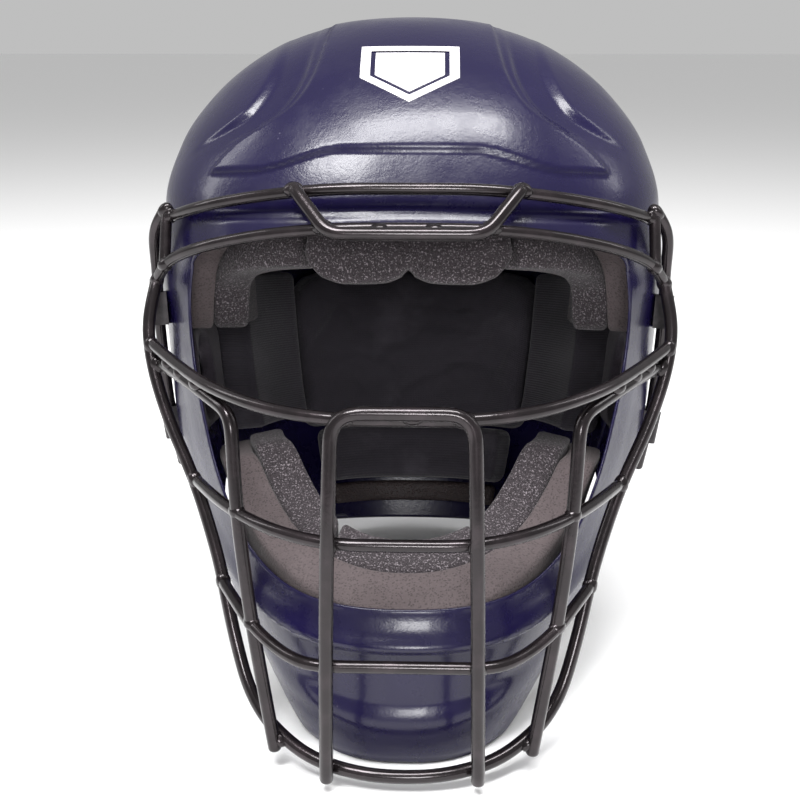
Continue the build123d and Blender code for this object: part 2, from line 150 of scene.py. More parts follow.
# --- Stance -----------------------------------------------------------------------------------------------
@dataclass(frozen=True)
class Stance:
    """Carries wearing-frame places (mm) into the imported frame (m): a lean about X, then a shift."""

    lean: float
    seat: Array

    @classmethod
    def from_frame(cls, lean_degrees: float, node: str, ends: Points) -> Stance:
        """Read the shift from a straight node whose two ends are known.

        Args:
            lean_degrees: how far the mask leans back.
            node: the straight node.
            ends: its two ends in the wearing frame.

        Returns:
            The stance.
        """
        low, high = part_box(node)
        bare = cls(math.radians(lean_degrees), np.zeros(3))
        middle = bare.places(np.mean(np.array(ends), axis=0))
        return cls(bare.lean, np.array((low + high) / 2) - middle)

    def ways(self, vectors: Array) -> Array:
        """Directions turned by the lean."""
        cos, sin = math.cos(self.lean), math.sin(self.lean)
        x, y, z = np.moveaxis(np.asarray(vectors, float), -1, 0)
        return np.stack([x, y * cos + z * sin, z * cos - y * sin], axis=-1)

    def places(self, points: Array) -> Array:
        """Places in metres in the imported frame."""
        return self.ways(points) * MM + self.seat


# --- Meshes -----------------------------------------------------------------------------------------------
@dataclass
class Surface:
    """Vertices (wearing frame, mm), faces and an optional cloth coordinate for each vertex."""

    points: Array
    faces: list[Array]
    cloth: Array | None = None

    @staticmethod
    def joined(parts: Sequence[Surface]) -> Surface:
        """Several surfaces as one."""
        offsets = np.cumsum([0] + [len(part.points) for part in parts])
        faces = [f + start for part, start in zip(parts, offsets) for f in part.faces]
        cloth = None
        if all(part.cloth is not None for part in parts):
            cloth = np.concatenate([part.cloth for part in parts])
        return Surface(np.concatenate([part.points for part in parts]), faces, cloth)

    def mirrored(self) -> Surface:
        """The same surface on the other side of the head, still facing outwards."""
        return Surface(self.points * (-1, 1, 1), [f[:, ::-1] for f in self.faces], self.cloth)


def grid_faces(rows: int, columns: int, wrap: bool = False) -> Array:
    """Quads of a grid whose vertices run along the columns of each row."""
    row, column = np.meshgrid(np.arange(rows - 1), np.arange(columns if wrap else columns - 1), indexing="ij")
    after = (column + 1) % columns
    corners = [row * columns + column, row * columns + after]
    corners += [(row + 1) * columns + after, (row + 1) * columns + column]
    return np.stack([c.ravel() for c in corners], axis=1)


def rounded_block(size: tuple[float, float, float], cells: tuple[int, int, int], radius: float) -> Surface:
    """A block with rounded edges: each lattice point moves from the clamped core out to the radius.

    Args:
        size: length, height and thickness.
        cells: even divisions along each of them.
        radius: radius of the edges.

    Returns:
        A closed surface whose cloth coordinate is (length, height).
    """
    radius = min(radius, min(size) / 2 - 1e-3)
    steps = []
    for length, count in zip(size, cells):
        edge = radius * np.array([0.0, 0.12, 0.32, 0.6])
        steps.append(np.concatenate([edge, np.linspace(radius, length - radius, count + 1), length - edge[::-1]]))
    counts = [len(step) for step in steps]
    corners, quads = [], []
    total = 0
    for axis in range(3):
        first, second = (axis + 1) % 3, (axis + 2) % 3
        for side in (0, counts[axis] - 1):
            a, b = np.meshgrid(np.arange(counts[first]), np.arange(counts[second]), indexing="ij")
            place = np.empty(a.shape + (3,), int)
            place[..., axis], place[..., first], place[..., second] = side, a, b
            face = grid_faces(counts[first], counts[second])
            quads.append((face if side else face[:, ::-1]) + total)
            corners.append(place.reshape(-1, 3))
            total += a.size
    lattice, index = np.unique(np.concatenate(corners), axis=0, return_inverse=True)
    points = np.stack([steps[axis][lattice[:, axis]] for axis in range(3)], axis=1)
    core = np.clip(points, radius, np.array(size) - radius)
    points = core + radius * unit(points - core) * (np.abs(points - core).max(1, keepdims=True) > 0)
    return Surface(points, [index.reshape(-1)[np.concatenate(quads)]], points[:, :2].copy())


def tube(route: Array, radius: float, sides: int = 20, end_round: float = 1.6) -> Surface:
    """A round wire: circles carried along the route without twist, closed by rounded ends.

    Args:
        route: closely spaced places along the wire's axis.
        radius: radius of the wire.
        sides: corners of each circle.
        end_round: radius of the rounded ends.

    Returns:
        A closed surface.
    """
    way = unit(np.gradient(route, axis=0))
    across = np.empty_like(way)
    start = np.cross(way[0], (0.3, 1.0, 0.2))
    across[0] = unit(start)
    for step in range(1, len(route)):
        across[step] = unit(across[step - 1] - way[step] * (across[step - 1] @ way[step]))
    up = np.cross(way, across)
    turns = np.radians([90, 60, 30, 0])
    inset = radius - end_round + end_round * np.cos(turns)
    back = end_round * (1 - np.sin(turns))
    lead, tail = [route[0] + way[0] * b for b in back], [route[-1] - way[-1] * b for b in back[::-1]]
    centres = lead + list(route[3:-3]) + tail
    frames = [0] * 4 + list(range(3, len(route) - 3)) + [len(route) - 1] * 4
    radii = np.concatenate([inset, np.full(len(route) - 6, radius), inset[::-1]])
    angle = np.linspace(0, 2 * math.pi, sides, endpoint=False)
    ring = np.cos(angle)[None, :, None] * across[frames][:, None] + np.sin(angle)[None, :, None] * up[frames][:, None]
    points = np.array(centres)[:, None] + ring * radii[:, None, None]
    rows = len(radii)
    poles = np.array([route[0], route[-1]])
    near, far = rows * sides, rows * sides + 1
    loop = np.arange(sides)
    first = np.stack([np.full(sides, near), np.roll(loop, -1), loop], axis=1)
    last = np.stack([np.full(sides, far), (rows - 1) * sides + loop, (rows - 1) * sides + np.roll(loop, -1)], axis=1)
    return Surface(np.concatenate([points.reshape(-1, 3), poles]), [grid_faces(rows, sides, wrap=True), first, last])


# --- Hull -------------------------------------------------------------------------------------------------
@dataclass(frozen=True)
class Hull:
    """Egg-shaped hull: at each height a superellipse, fuller or leaner in front than at the back.

    The heights are read through their drop below the crown: the drop's square root runs evenly over the top,
    so the level values are smooth curves of it down to the rim.
    """

    crown: float = 322.6
    heights: tuple[float, ...] = (321, 315, 303, 285, 262, 235, 205, 170, 130, 95, 60, 30, 0, -24)
    front: tuple[float, ...] = (-6, -27, -47, -66, -82, -93, -101, -108, -113, -117, -119, -118, -112, -104)
    back: tuple[float, ...] = (26, 56, 84, 110, 130, 143, 148, 148, 144, 138, 129, 120, 112, 96)
    half: tuple[float, ...] = (25, 52, 75, 96, 111, 118, 118, 113, 103, 92, 82, 73, 60, 46)
    flare: tuple[float, ...] = (0, 0, 0, 0, 0, 0, 0, 3, 9, 11, 9, 3, 0, 0)
    widest: tuple[float, ...] = (8, 6, 6, 8, 8, 8, 8, 10, 12, 15, 18, 20, 20, 20)
    fullness: tuple[float, ...] = (2.0, 2.0, 2.1, 2.2, 2.35, 2.5, 2.6, 2.5, 2.4, 2.35, 2.35, 2.4, 2.5, 2.5)

    def level(self, height: Array) -> tuple[Array, ...]:
        """Front, back, half width, widest place and fullness at each height."""
        drop = np.sqrt(np.maximum(self.crown - np.asarray(height, float), 0.0))
        knots = np.concatenate([[0.0], np.sqrt(self.crown - np.array(self.heights))])
        half = tuple(h + f for h, f in zip(self.half, self.flare))
        tops = ((8, self.front), (8, self.back), (0, half), (8, self.widest), (2, self.fullness))
        return tuple(smooth_interp(drop, knots, (top, *values)) for top, values in tops)

    def slope(self, height: Array) -> tuple[Array, Array]:
        """Outward and upward parts of the side profile's normal."""
        step = 1.5
        reach = []
        for shift in (-step, step):
            front, back, half, _, _ = self.level(height + shift)
            reach.append((half + (back - front) / 2) / 2)
        run = reach[0] - reach[1]
        length = np.hypot(2 * step, run)
        return 2 * step / length, run / length

    def place(self, bearing: Array, height: Array, inset: Array | float = 0.0) -> Array:
        """Place on the hull, moved inwards by the inset.

        Args:
            bearing: angle about the widest place in radians, 0 at the front and positive to +X.
            height: level on the bare hull.
            inset: distance inwards from the hull.

        Returns:
            Places in the wearing frame.
        """
        bearing, height = np.broadcast_arrays(np.asarray(bearing, float), np.asarray(height, float))
        front, back, half, widest, fullness = self.level(height)
        outwards, up = self.slope(height)
        sin, cos = np.sin(bearing), np.cos(bearing)
        shrink = inset * outwards
        depth = np.where(cos > 0, widest - front, back - widest) - shrink
        wide, depth = np.maximum(half - shrink, 1e-3), np.maximum(depth, 1e-3)
        reach = (np.abs(sin / wide) ** fullness + np.abs(cos / depth) ** fullness) ** (-1 / fullness)
        return np.stack([reach * sin, widest - reach * cos, height - inset * up], axis=-1)

    def side_skin(self, y: Array, height: Array) -> Array:
        """Half width of the hull at places along the head."""
        front, back, half, widest, fullness = self.level(height)
        depth = np.where(y < widest, widest - front, back - widest)
        share = np.clip(1 - np.abs((y - widest) / depth) ** fullness, 0, 1)
        return half * share ** (1 / fullness)


HULL = Hull()
JAW_HULL = Hull(flare=(0,) * 14)


class EdgeKind(Enum):
    """What a pad's edge is read against."""

    BEARING = "degrees about the head"
    BACK = "distance to the back"


@dataclass(frozen=True)
class Edge:
    """Lower or upper edge of a pad: height over the bearing, or over how far back the place is."""

    kind: EdgeKind
    knots: tuple[float, ...]
    levels: tuple[float, ...]

    def height(self, bearing: Array, inset: Array, hull: Hull) -> Array:
        """Height of the edge; an edge read against Y is found by repeated substitution."""
        if self.kind is EdgeKind.BEARING:
            return smooth_interp(np.degrees(bearing), self.knots, self.levels)
        level = np.full(np.shape(bearing), float(np.mean(self.levels)))
        for _ in range(12):
            back = hull.place(bearing, level, inset)[..., 1]
            level = 0.5 * level + 0.5 * smooth_interp(back, self.knots, self.levels)
        return level


Mapper = Callable[[Array, Array, Array], Array]


@dataclass(frozen=True)
class BeltMap:
    """Lays a block along the hull like a belt: length is the bearing, height runs between two edges."""

    bearings: tuple[float, float]
    low: Edge
    high: Edge
    hull: Hull = HULL

    def __call__(self, along: Array, up: Array, inset: Array) -> Array:
        """Places for shares along and up the belt, at insets in mm."""
        first, last = np.radians(self.bearings)
        bearing = first + (last - first) * along
        low, high = (edge.height(bearing, inset, self.hull) for edge in (self.low, self.high))
        return self.hull.place(bearing, low + (high - low) * up, inset)


@dataclass(frozen=True)
class CapMap:
    """Lays a block over the crown: length runs across, height runs to the back."""

    across: tuple[float, float]
    back: tuple[float, float]

    def __call__(self, along: Array, up: Array, inset: Array) -> Array:
        """Places on the hull over plan positions; the height is found by halving."""
        x = self.across[0] + (self.across[1] - self.across[0]) * along
        y = self.back[0] + (self.back[1] - self.back[0]) * up
        low, high = np.full(x.shape, 200.0), np.full(x.shape, HULL.crown)
        for _ in range(30):
            middle = (low + high) / 2
            front, back, half, widest, fullness = HULL.level(middle)
            depth = np.where(y < widest, widest - front, back - widest)
            inside = np.abs(x / half) ** fullness + np.abs((y - widest) / depth) ** fullness < 1
            low, high = np.where(inside, middle, low), np.where(inside, high, middle)
        bearing = np.arctan2(x, widest - y)
        outwards, rise = HULL.slope(low)
        way = np.stack([np.sin(bearing) * outwards, -np.cos(bearing) * outwards, rise], axis=-1)
        return np.stack([x, y, low], axis=-1) - way * inset[..., None]


@dataclass(frozen=True)
class Pad:
    """A block of foam, cloth or webbing that lies along the hull."""

    name: str
    lay: Mapper
    insets: tuple[float, float]
    size: tuple[float, float]
    grain: float = 3.0
    edge: float = 2.5
    crown: float = 0.0
    creases: float = 0.0
    seed: int = 1

    def surface(self) -> Surface:
        """The rounded block carried onto the hull; crown swells its inner face, creases wrinkle it."""
        thickness = self.insets[1] - self.insets[0]
        length, height = self.size
        cells = (max(int(length / self.grain), 4), max(int(height / self.grain), 4), max(int(thickness / 3), 2))
        block = rounded_block((length, height, thickness), cells, self.edge)
        along, up = block.points[:, 0] / length, block.points[:, 1] / height
        depth = block.points[:, 2]
        share = depth / thickness
        dome = np.sin(math.pi * np.clip(along, 0, 1)) * np.sin(math.pi * np.clip(up, 0, 1))
        swell = self.crown * dome**0.4
        if self.creases:
            swell += self.creases * dome**0.3 * self.wrinkles(block.points)
        inset = self.insets[0] + depth + swell * share
        return Surface(self.lay(along, up, inset), block.faces, block.cloth * MM)

    def wrinkles(self, points: Array) -> Array:
        """Folds: sharp-bottomed ridges |sin| along lines that a slow wave bends."""
        length, height = self.size
        x, y = points[:, 0] / length, points[:, 1] / height
        flat = np.stack([x * length, y * height, np.zeros_like(x)], axis=-1)
        bend = waves(flat, 70.0, self.seed)
        diagonal = np.abs(np.sin(math.pi * (1.3 * x + 1.9 * y + 0.55 * bend)))
        arc = np.abs(np.sin(math.pi * (2.1 * x - 1.2 * y + 0.7 * bend)))
        folds = -np.exp(-(diagonal / 0.36) ** 2) - 0.5 * np.exp(-(arc / 0.34) ** 2)
        return folds + 0.3 * waves(flat, 30.0, self.seed + 7)


# --- Shells -----------------------------------------------------------------------------------------------
@dataclass(frozen=True)
class Outline:
    """A closed smooth line in a plane, from a few knots."""

    knots: tuple[tuple[float, float], ...]

    def line(self, per_span: int = 14) -> Array:
        """Catmull-Rom points: each span is the cubic through its two knots, aimed by their neighbours."""
        knots = np.array(self.knots, float)
        before, after, beyond = np.roll(knots, 1, 0), np.roll(knots, -1, 0), np.roll(knots, -2, 0)
        t = np.linspace(0, 1, per_span, endpoint=False)[None, :, None]
        a, b, c, d = (k[:, None] for k in (before, knots, after, beyond))
        cubic = 2 * b + (c - a) * t + (2 * a - 5 * b + 4 * c - d) * t**2 + (3 * b - a - 3 * c + d) * t**3
        return 0.5 * cubic.reshape(-1, 2)

    def distance(self, points: Array) -> Array:
        """Distance of points from the line, positive outside it."""
        line = self.line()
        ends = np.roll(line, -1, 0)
        span = ends - line
        result = np.empty(len(points))
        for first in range(0, len(points), 4096):
            here = points[first:first + 4096, None]
            share = np.clip(((here - line) * span).sum(-1) / (span**2).sum(-1), 0, 1)
            gap = np.linalg.norm(here - line - share[..., None] * span, axis=-1).min(1)
            crosses = (line[:, 1] > here[..., 1]) != (ends[:, 1] > here[..., 1])
            rise = np.where(span[:, 1] == 0, 1e-9, span[:, 1])
            at = line[:, 0] + (here[..., 1] - line[:, 1]) / rise * span[:, 0]
            inside = (crosses & (here[..., 0] < at)).sum(1) % 2 == 1
            result[first:first + 4096] = np.where(inside, -gap, gap)
        return result


def slot_distance(points: Array, centre: tuple[float, float], length: float, width: float) -> Array:
    """Distance from a round-ended slot that runs along the first coordinate, positive outside it."""
    offset = np.abs(points - np.array(centre))
    offset[..., 0] = np.maximum(offset[..., 0] - (length - width) / 2, 0)
    return np.linalg.norm(offset, axis=-1) - width / 2


@dataclass
class Skin:
    """A curved wall cut along a line where a measure passes zero, with a rounded rim."""

    outer: Array
    inner: Array
    triangles: Array
    measure: Array
    rim: float = 1.0

    def surface(self) -> Surface:
        """Cut every triangle that the zero line crosses, then join both skins by a bulging rim."""
        inside = self.measure[self.triangles] > 0
        count = inside.sum(1)
        odd = np.where(count == 1, np.argmax(inside, 1), np.argmin(inside, 1))
        turned = np.stack([np.take_along_axis(self.triangles, ((odd + k) % 3)[:, None], 1)[:, 0]
                           for k in range(3)], axis=1)
        cut = turned[(count == 1) | (count == 2)]
        single = count[(count == 1) | (count == 2)] == 1
        pairs = np.sort(np.concatenate([cut[:, [0, 1]], cut[:, [0, 2]]]), axis=1)
        edges, index = np.unique(pairs, axis=0, return_inverse=True)
        index = index.reshape(2, -1) + len(self.outer)
        share = self.measure[edges[:, 0]] / (self.measure[edges[:, 0]] - self.measure[edges[:, 1]])
        share = share[:, None]
        outer = np.concatenate([self.outer, self.outer[edges[:, 0]] * (1 - share) + self.outer[edges[:, 1]] * share])
        inner = np.concatenate([self.inner, self.inner[edges[:, 0]] * (1 - share) + self.inner[edges[:, 1]] * share])
        whole = self.triangles[count == 3]
        tips = np.stack([cut[single, 0], index[0][single], index[1][single]], axis=1)
        two = ~single
        trunks = np.stack([index[0][two], cut[two, 1], cut[two, 2], index[1][two]], axis=1)
        rim = np.concatenate([np.stack([index[0][single], index[1][single]], axis=1),
                              np.stack([index[1][two], index[0][two]], axis=1)])
        rim = rim[rim[:, 0] != rim[:, 1]]
        return self.closed(outer, inner, [whole, tips, trunks], rim)

    def closed(self, outer: Array, inner: Array, faces: list[Array], rim: Array) -> Surface:
        """Both skins and the rim between them, with unused vertices dropped."""
        total = len(outer)
        edge = outer[rim[:, 1]] - outer[rim[:, 0]]
        away = np.zeros_like(outer)
        wall = unit(outer - inner)
        for end in range(2):
            np.add.at(away, rim[:, end], np.cross(edge, wall[rim[:, end]]))
        away = unit(away)
        layers = [outer, inner]
        for share in (0.2, 0.5, 0.8):
            bulge = self.rim * math.sin(math.pi * share) ** 0.6
            layers.append(outer * (1 - share) + inner * share + away * bulge)
        order = [0, 2, 3, 4, 1]
        strips = [np.stack([rim[:, 1] + a * total, rim[:, 0] + a * total, rim[:, 0] + b * total,
                            rim[:, 1] + b * total], axis=1) for a, b in zip(order, order[1:])]
        everything = faces + [f[:, ::-1] + total for f in faces] + strips
        points = np.concatenate(layers)
        used = np.unique(np.concatenate([f.ravel() for f in everything]))
        fresh = np.full(len(points), -1)
        fresh[used] = np.arange(len(used))
        return Surface(points[used], [fresh[f] for f in everything if len(f)])


@dataclass(frozen=True)
class Shells:
    """Front shell with its raised forehead, flange and chin ledges, and the rear shell."""

    wall: float = 3.2
    thinnest: float = 1.4
    opening_top: float = 223.0
    opening_chin: float = 67.0
    opening_half: tuple[tuple[float, float], ...] = (
        (62, 220), (93, 211), (100, 192), (99, 165), (93, 135), (84, 105), (70, 83), (45, 70))
    front_rim: tuple[tuple[float, float], ...] = ((-104, 1), (-92, 4), (-62, 27), (-25, 60), (20, 88), (48, 98))
    rear_rim: tuple[tuple[float, float], ...] = ((44, 98), (66, 73), (88, 57), (110, 49), (130, 47))
    seam_back: float = 44.0
    seam_width: float = 5.0
    opening_back: float = -6.0
    ear_slots: tuple[tuple[float, float], ...] = ((6, 128), (6, 142), (6, 156))
    ear_slot: tuple[float, float] = (30, 7)
    crown_vents: tuple[tuple[float, float], ...] = ((-34, 6), (34, 6))
    crown_vent: tuple[float, float] = (38, 10)
    rear_vents: tuple[tuple[float, float], ...] = ((-36, 205), (36, 205))
    rear_vent: tuple[float, float] = (46, 12)
    panel_rise: float = 1.8
    channel_drop: float = 2.4
    spine_rise: float = 1.6
    panel_climb: tuple[float, ...] = (240, 247, 257, 265, 273, 283, 292, 305, 322, 420)
    panel_half: tuple[float, ...] = (88, 84, 74, 61, 50, 43.5, 40.5, 38.5, 37, 36)
    flange: float = 15.0
    flange_drop: float = 3.6

    def opening(self) -> Outline:
        """Face opening seen from the front."""
        right = tuple((-x, z) for x, z in reversed(self.opening_half))
        return Outline(((0, self.opening_top), *self.opening_half, (0, self.opening_chin), *right))

    def skin_grid(self, bearings: Array, heights: Array, crown: bool) -> tuple[Array, Array, Array]:
        """Places, outward ways and triangles of a grid over the hull, closed at the crown if asked."""
        bearing, height = np.meshgrid(np.radians(bearings), heights)
        drop = np.sqrt(np.maximum(HULL.crown - height, 0))
        nudge, dip = 1e-3, 0.02
        above = HULL.place(bearing, HULL.crown - np.maximum(drop - dip, 0.01) ** 2)
        below = HULL.place(bearing, HULL.crown - (drop + dip) ** 2)
        ahead = HULL.place(bearing + nudge, height) - HULL.place(bearing - nudge, height)
        ways = unit(np.cross(unit(ahead), unit(above - below)))
        points = HULL.place(bearing, height).reshape(-1, 3)
        ways = ways.reshape(-1, 3)
        rows, columns = height.shape
        quads = grid_faces(rows, columns, wrap=crown)
        triangles = np.concatenate([quads[:, :3], quads[:, [0, 2, 3]]])
        if crown:
            pole = len(points)
            last = (rows - 1) * columns + np.arange(columns)
            fan = np.stack([last, (rows - 1) * columns + (np.arange(columns) + 1) % columns,
                            np.full(columns, pole)], axis=1)
            points = np.concatenate([points, [[0, 8, HULL.crown]]])
            ways = np.concatenate([ways, [[0, 0, 1]]])
            triangles = np.concatenate([triangles, fan])
        return points, ways, triangles

    def front_measure(self, points: Array, edge: Array) -> Array:
        """Least distance into the front shell from its openings, rim and seam."""
        _, y, z = points.T
        opening = np.where(y < self.opening_back, edge, FAR)
        rim = (z - smooth_interp(y, *zip(*self.front_rim))) * 0.8
        seam = self.seam_back - y
        measure = np.minimum(np.minimum(opening, rim), seam)
        for centre in self.ear_slots:
            measure = np.minimum(measure, slot_distance(points[:, 1:], centre, *self.ear_slot))
        for across, back in self.crown_vents:
            vent = slot_distance(points[:, [1, 0]], (back, across), *self.crown_vent)
            measure = np.minimum(measure, np.where(z > self.opening_top, vent, FAR))
        return measure

    def forehead(self, points: Array) -> Array:
        """Rise of the forehead panel and depth of the channels beside it."""
        x, y, z = points.T
        width = np.abs(x)
        climb = np.where(y < 8, z, 2 * HULL.crown - z)
        half = smooth_interp(climb, self.panel_climb, self.panel_half)
        step = 253.5 - 8.5 * ease(width, 26, 66)
        fade = 1 - ease(y, -8, 20)
        panel = ease(half - width, -1.0, 1.6) * ease(z - step, -0.6, 1.4)
        beside = width - half
        channel = ease(beside, 3.0, 6.5) * (1 - ease(beside, 17, 22)) * ease(climb, 252, 272)
        shallow = 1 - 0.85 * ease(climb, 284, 310)
        return fade * (self.panel_rise * panel * (0.5 + 0.5 * shallow) - self.channel_drop * channel * shallow)

    def brow(self, points: Array) -> Array:
        """Two small ledges above the brow edge."""
        x, y, z = points.T
        near = (1 - ease(np.abs(x), 72, 92)) * (1 - ease(y, -60, -40)) * ease(z, 205, 212)
        drop = 0.012 * np.abs(x)
        return near * (1.1 * (1 - ease(z + drop, 228.6, 230.0)) + 0.9 * (1 - ease(z + drop, 225.2, 226.2)))

    def face(self, points: Array, edge: Array) -> Array:
        """Flange around the face opening, and the recess and ledge on the chin."""
        x, y, z = points.T
        ahead = 1 - ease(y, -30, -8)
        beside = ahead * (1 - ease(z, 203, 214))
        bevel = -self.flange_drop * (1 - ease(edge, 0, self.flange)) ** 0.8
        lip = 1.5 * ease(edge, 8, self.flange) * (1 - ease(edge, self.flange, self.flange + 1.6))
        ledge = 24 + 8 * (x / 50) ** 2
        under = ease(edge, self.flange + 1.0, self.flange + 2.6) * (1 - ease(y, -82, -52)) * (1 - ease(z, 96, 110))
        recess = -2.4 * under * ease(z - ledge, -3.0, 3.5)
        foot = 0.9 * (1 - ease(y, -92, -70)) * (1 - ease(z - ledge, -6, -1.5)) * ease(z, 2, 5)
        return beside * (bevel + lip) + recess + foot

    def front(self) -> Surface:
        """The front shell."""
        side, face = np.linspace(-180, -104, 18), np.linspace(-76, 76, 174)
        turn = np.linspace(-102, -77, 27)
        bearings = np.concatenate([side, turn, face, -turn[::-1], -side[::-1][:-1]])
        drop = np.sqrt(HULL.crown - 262)
        low = np.concatenate([np.arange(-6, 96, 1.6), np.arange(96, 120, 3.0), np.arange(120, 163, 1.3),
                              np.arange(163, 214, 3.0), np.arange(214, 262, 1.25)])
        heights = np.concatenate([low, HULL.crown - np.linspace(drop, 0.15, 74) ** 2])
        points, ways, triangles = self.skin_grid(bearings, heights, crown=True)
        edge = self.opening().distance(points[:, [0, 2]])
        relief = self.forehead(points) + self.brow(points) + self.face(points, edge)
        outer = points + ways * relief[:, None]
        depth = np.maximum(self.wall, self.thinnest - relief)
        inner = points - ways * depth[:, None]
        return Skin(outer, inner, triangles, self.front_measure(points, edge)).surface()

    def rear(self) -> Surface:
        """The rear shell, with a shallow raised spine."""
        bearings = np.linspace(92, 268, 130)
        heights = np.concatenate([np.arange(30, 262, 2.6), HULL.crown - np.linspace(7.78, 1.6, 40) ** 2])
        points, ways, triangles = self.skin_grid(bearings, heights, crown=False)
        x, y, z = points.T
        rim = (z - smooth_interp(y, *zip(*self.rear_rim))) * 0.85
        measure = np.minimum(rim, y - self.seam_back - self.seam_width)
        for across, up in self.rear_vents:
            vent = slot_distance(points[:, [2, 0]], (up, across), *self.rear_vent)
            measure = np.minimum(measure, vent)
        spine = self.spine_rise * (1 - ease(np.abs(x), 16, 20)) * ease(z, 84, 96) * (1 - ease(z, 236, 262))
        outer = points + ways * spine[:, None]
        return Skin(outer, points - ways * self.wall, triangles, measure).surface()


# --- Cage -------------------------------------------------------------------------------------------------
def rounded_route(points: Points, corner: float | None, fill: float = 0.45, spacing: float = 2.0) -> Array:
    """Straight runs joined by tangent arcs, read off at even steps and eased where they bend gently.

    Args:
        points: corners of the route.
        corner: radius of its sharp corners, if they have one of their own.
        fill: share of the shorter run that a gentle bend takes up.
        spacing: distance between the places read.

    Returns:
        Places along the route.
    """
    knots = np.array(points, float)
    route = [knots[:1]]
    for before, here, after in zip(knots, knots[1:], knots[2:]):
        back, ahead = before - here, after - here
        runs = np.linalg.norm(back), np.linalg.norm(ahead)
        back, ahead = back / runs[0], ahead / runs[1]
        turn = math.pi - math.acos(np.clip(back @ ahead, -1, 1))
        radius = fill * min(runs) / math.tan(turn / 2)
        if corner and turn > math.pi / 5:
            radius = min(radius, corner)
        reach = radius * math.tan(turn / 2)
        middle = unit(back + ahead)
        centre = here + middle * radius / math.cos(turn / 2)
        first, last = here + back * reach - centre, here + ahead * reach - centre
        share = np.linspace(0, 1, 9)[:, None]
        arc = (np.sin((1 - share) * turn) * first + np.sin(share * turn) * last) / math.sin(turn)
        route.append(centre + arc)
    route.append(knots[-1:])
    line = np.concatenate(route)
    length = np.concatenate([[0], np.cumsum(np.linalg.norm(np.diff(line, axis=0), axis=1))])
    steps = np.linspace(0, length[-1], max(int(length[-1] / spacing), 8))
    even = np.stack([np.interp(steps, length, line[:, axis]) for axis in range(3)], axis=1)
    for _ in range(3 if corner else 10):
        even[1:-1] += 0.25 * (even[:-2] + even[2:] - 2 * even[1:-1])
    return even


def across(half: Points) -> Points:
    """A whole route from the half that is given from the middle outwards."""
    return [(-x, y, z) for x, y, z in reversed(half)] + list(half)


@dataclass(frozen=True)
class Wire:
    """One wire of the cage."""

    name: str
    route: Points
    gauge: float
    corner: float | None = None
    paired: bool = False

    def line(self) -> Array:
        """Places along the wire's axis."""
        return rounded_route(self.route if self.paired else across(self.route), self.corner)


def side_wire_route() -> Points:
    """Route of the side wire: off the brow, then down along the shell at a constant distance."""
    run = [(-46, 204), (-41, 186), (-36, 160), (-31, 133), (-28, 110)]
    standoff = 4.6
    return [(107.5, -60, 230), (115, -53, 221)] + [
        (float(HULL.side_skin(np.array(y), np.array(z))) + standoff, y, z) for y, z in run]


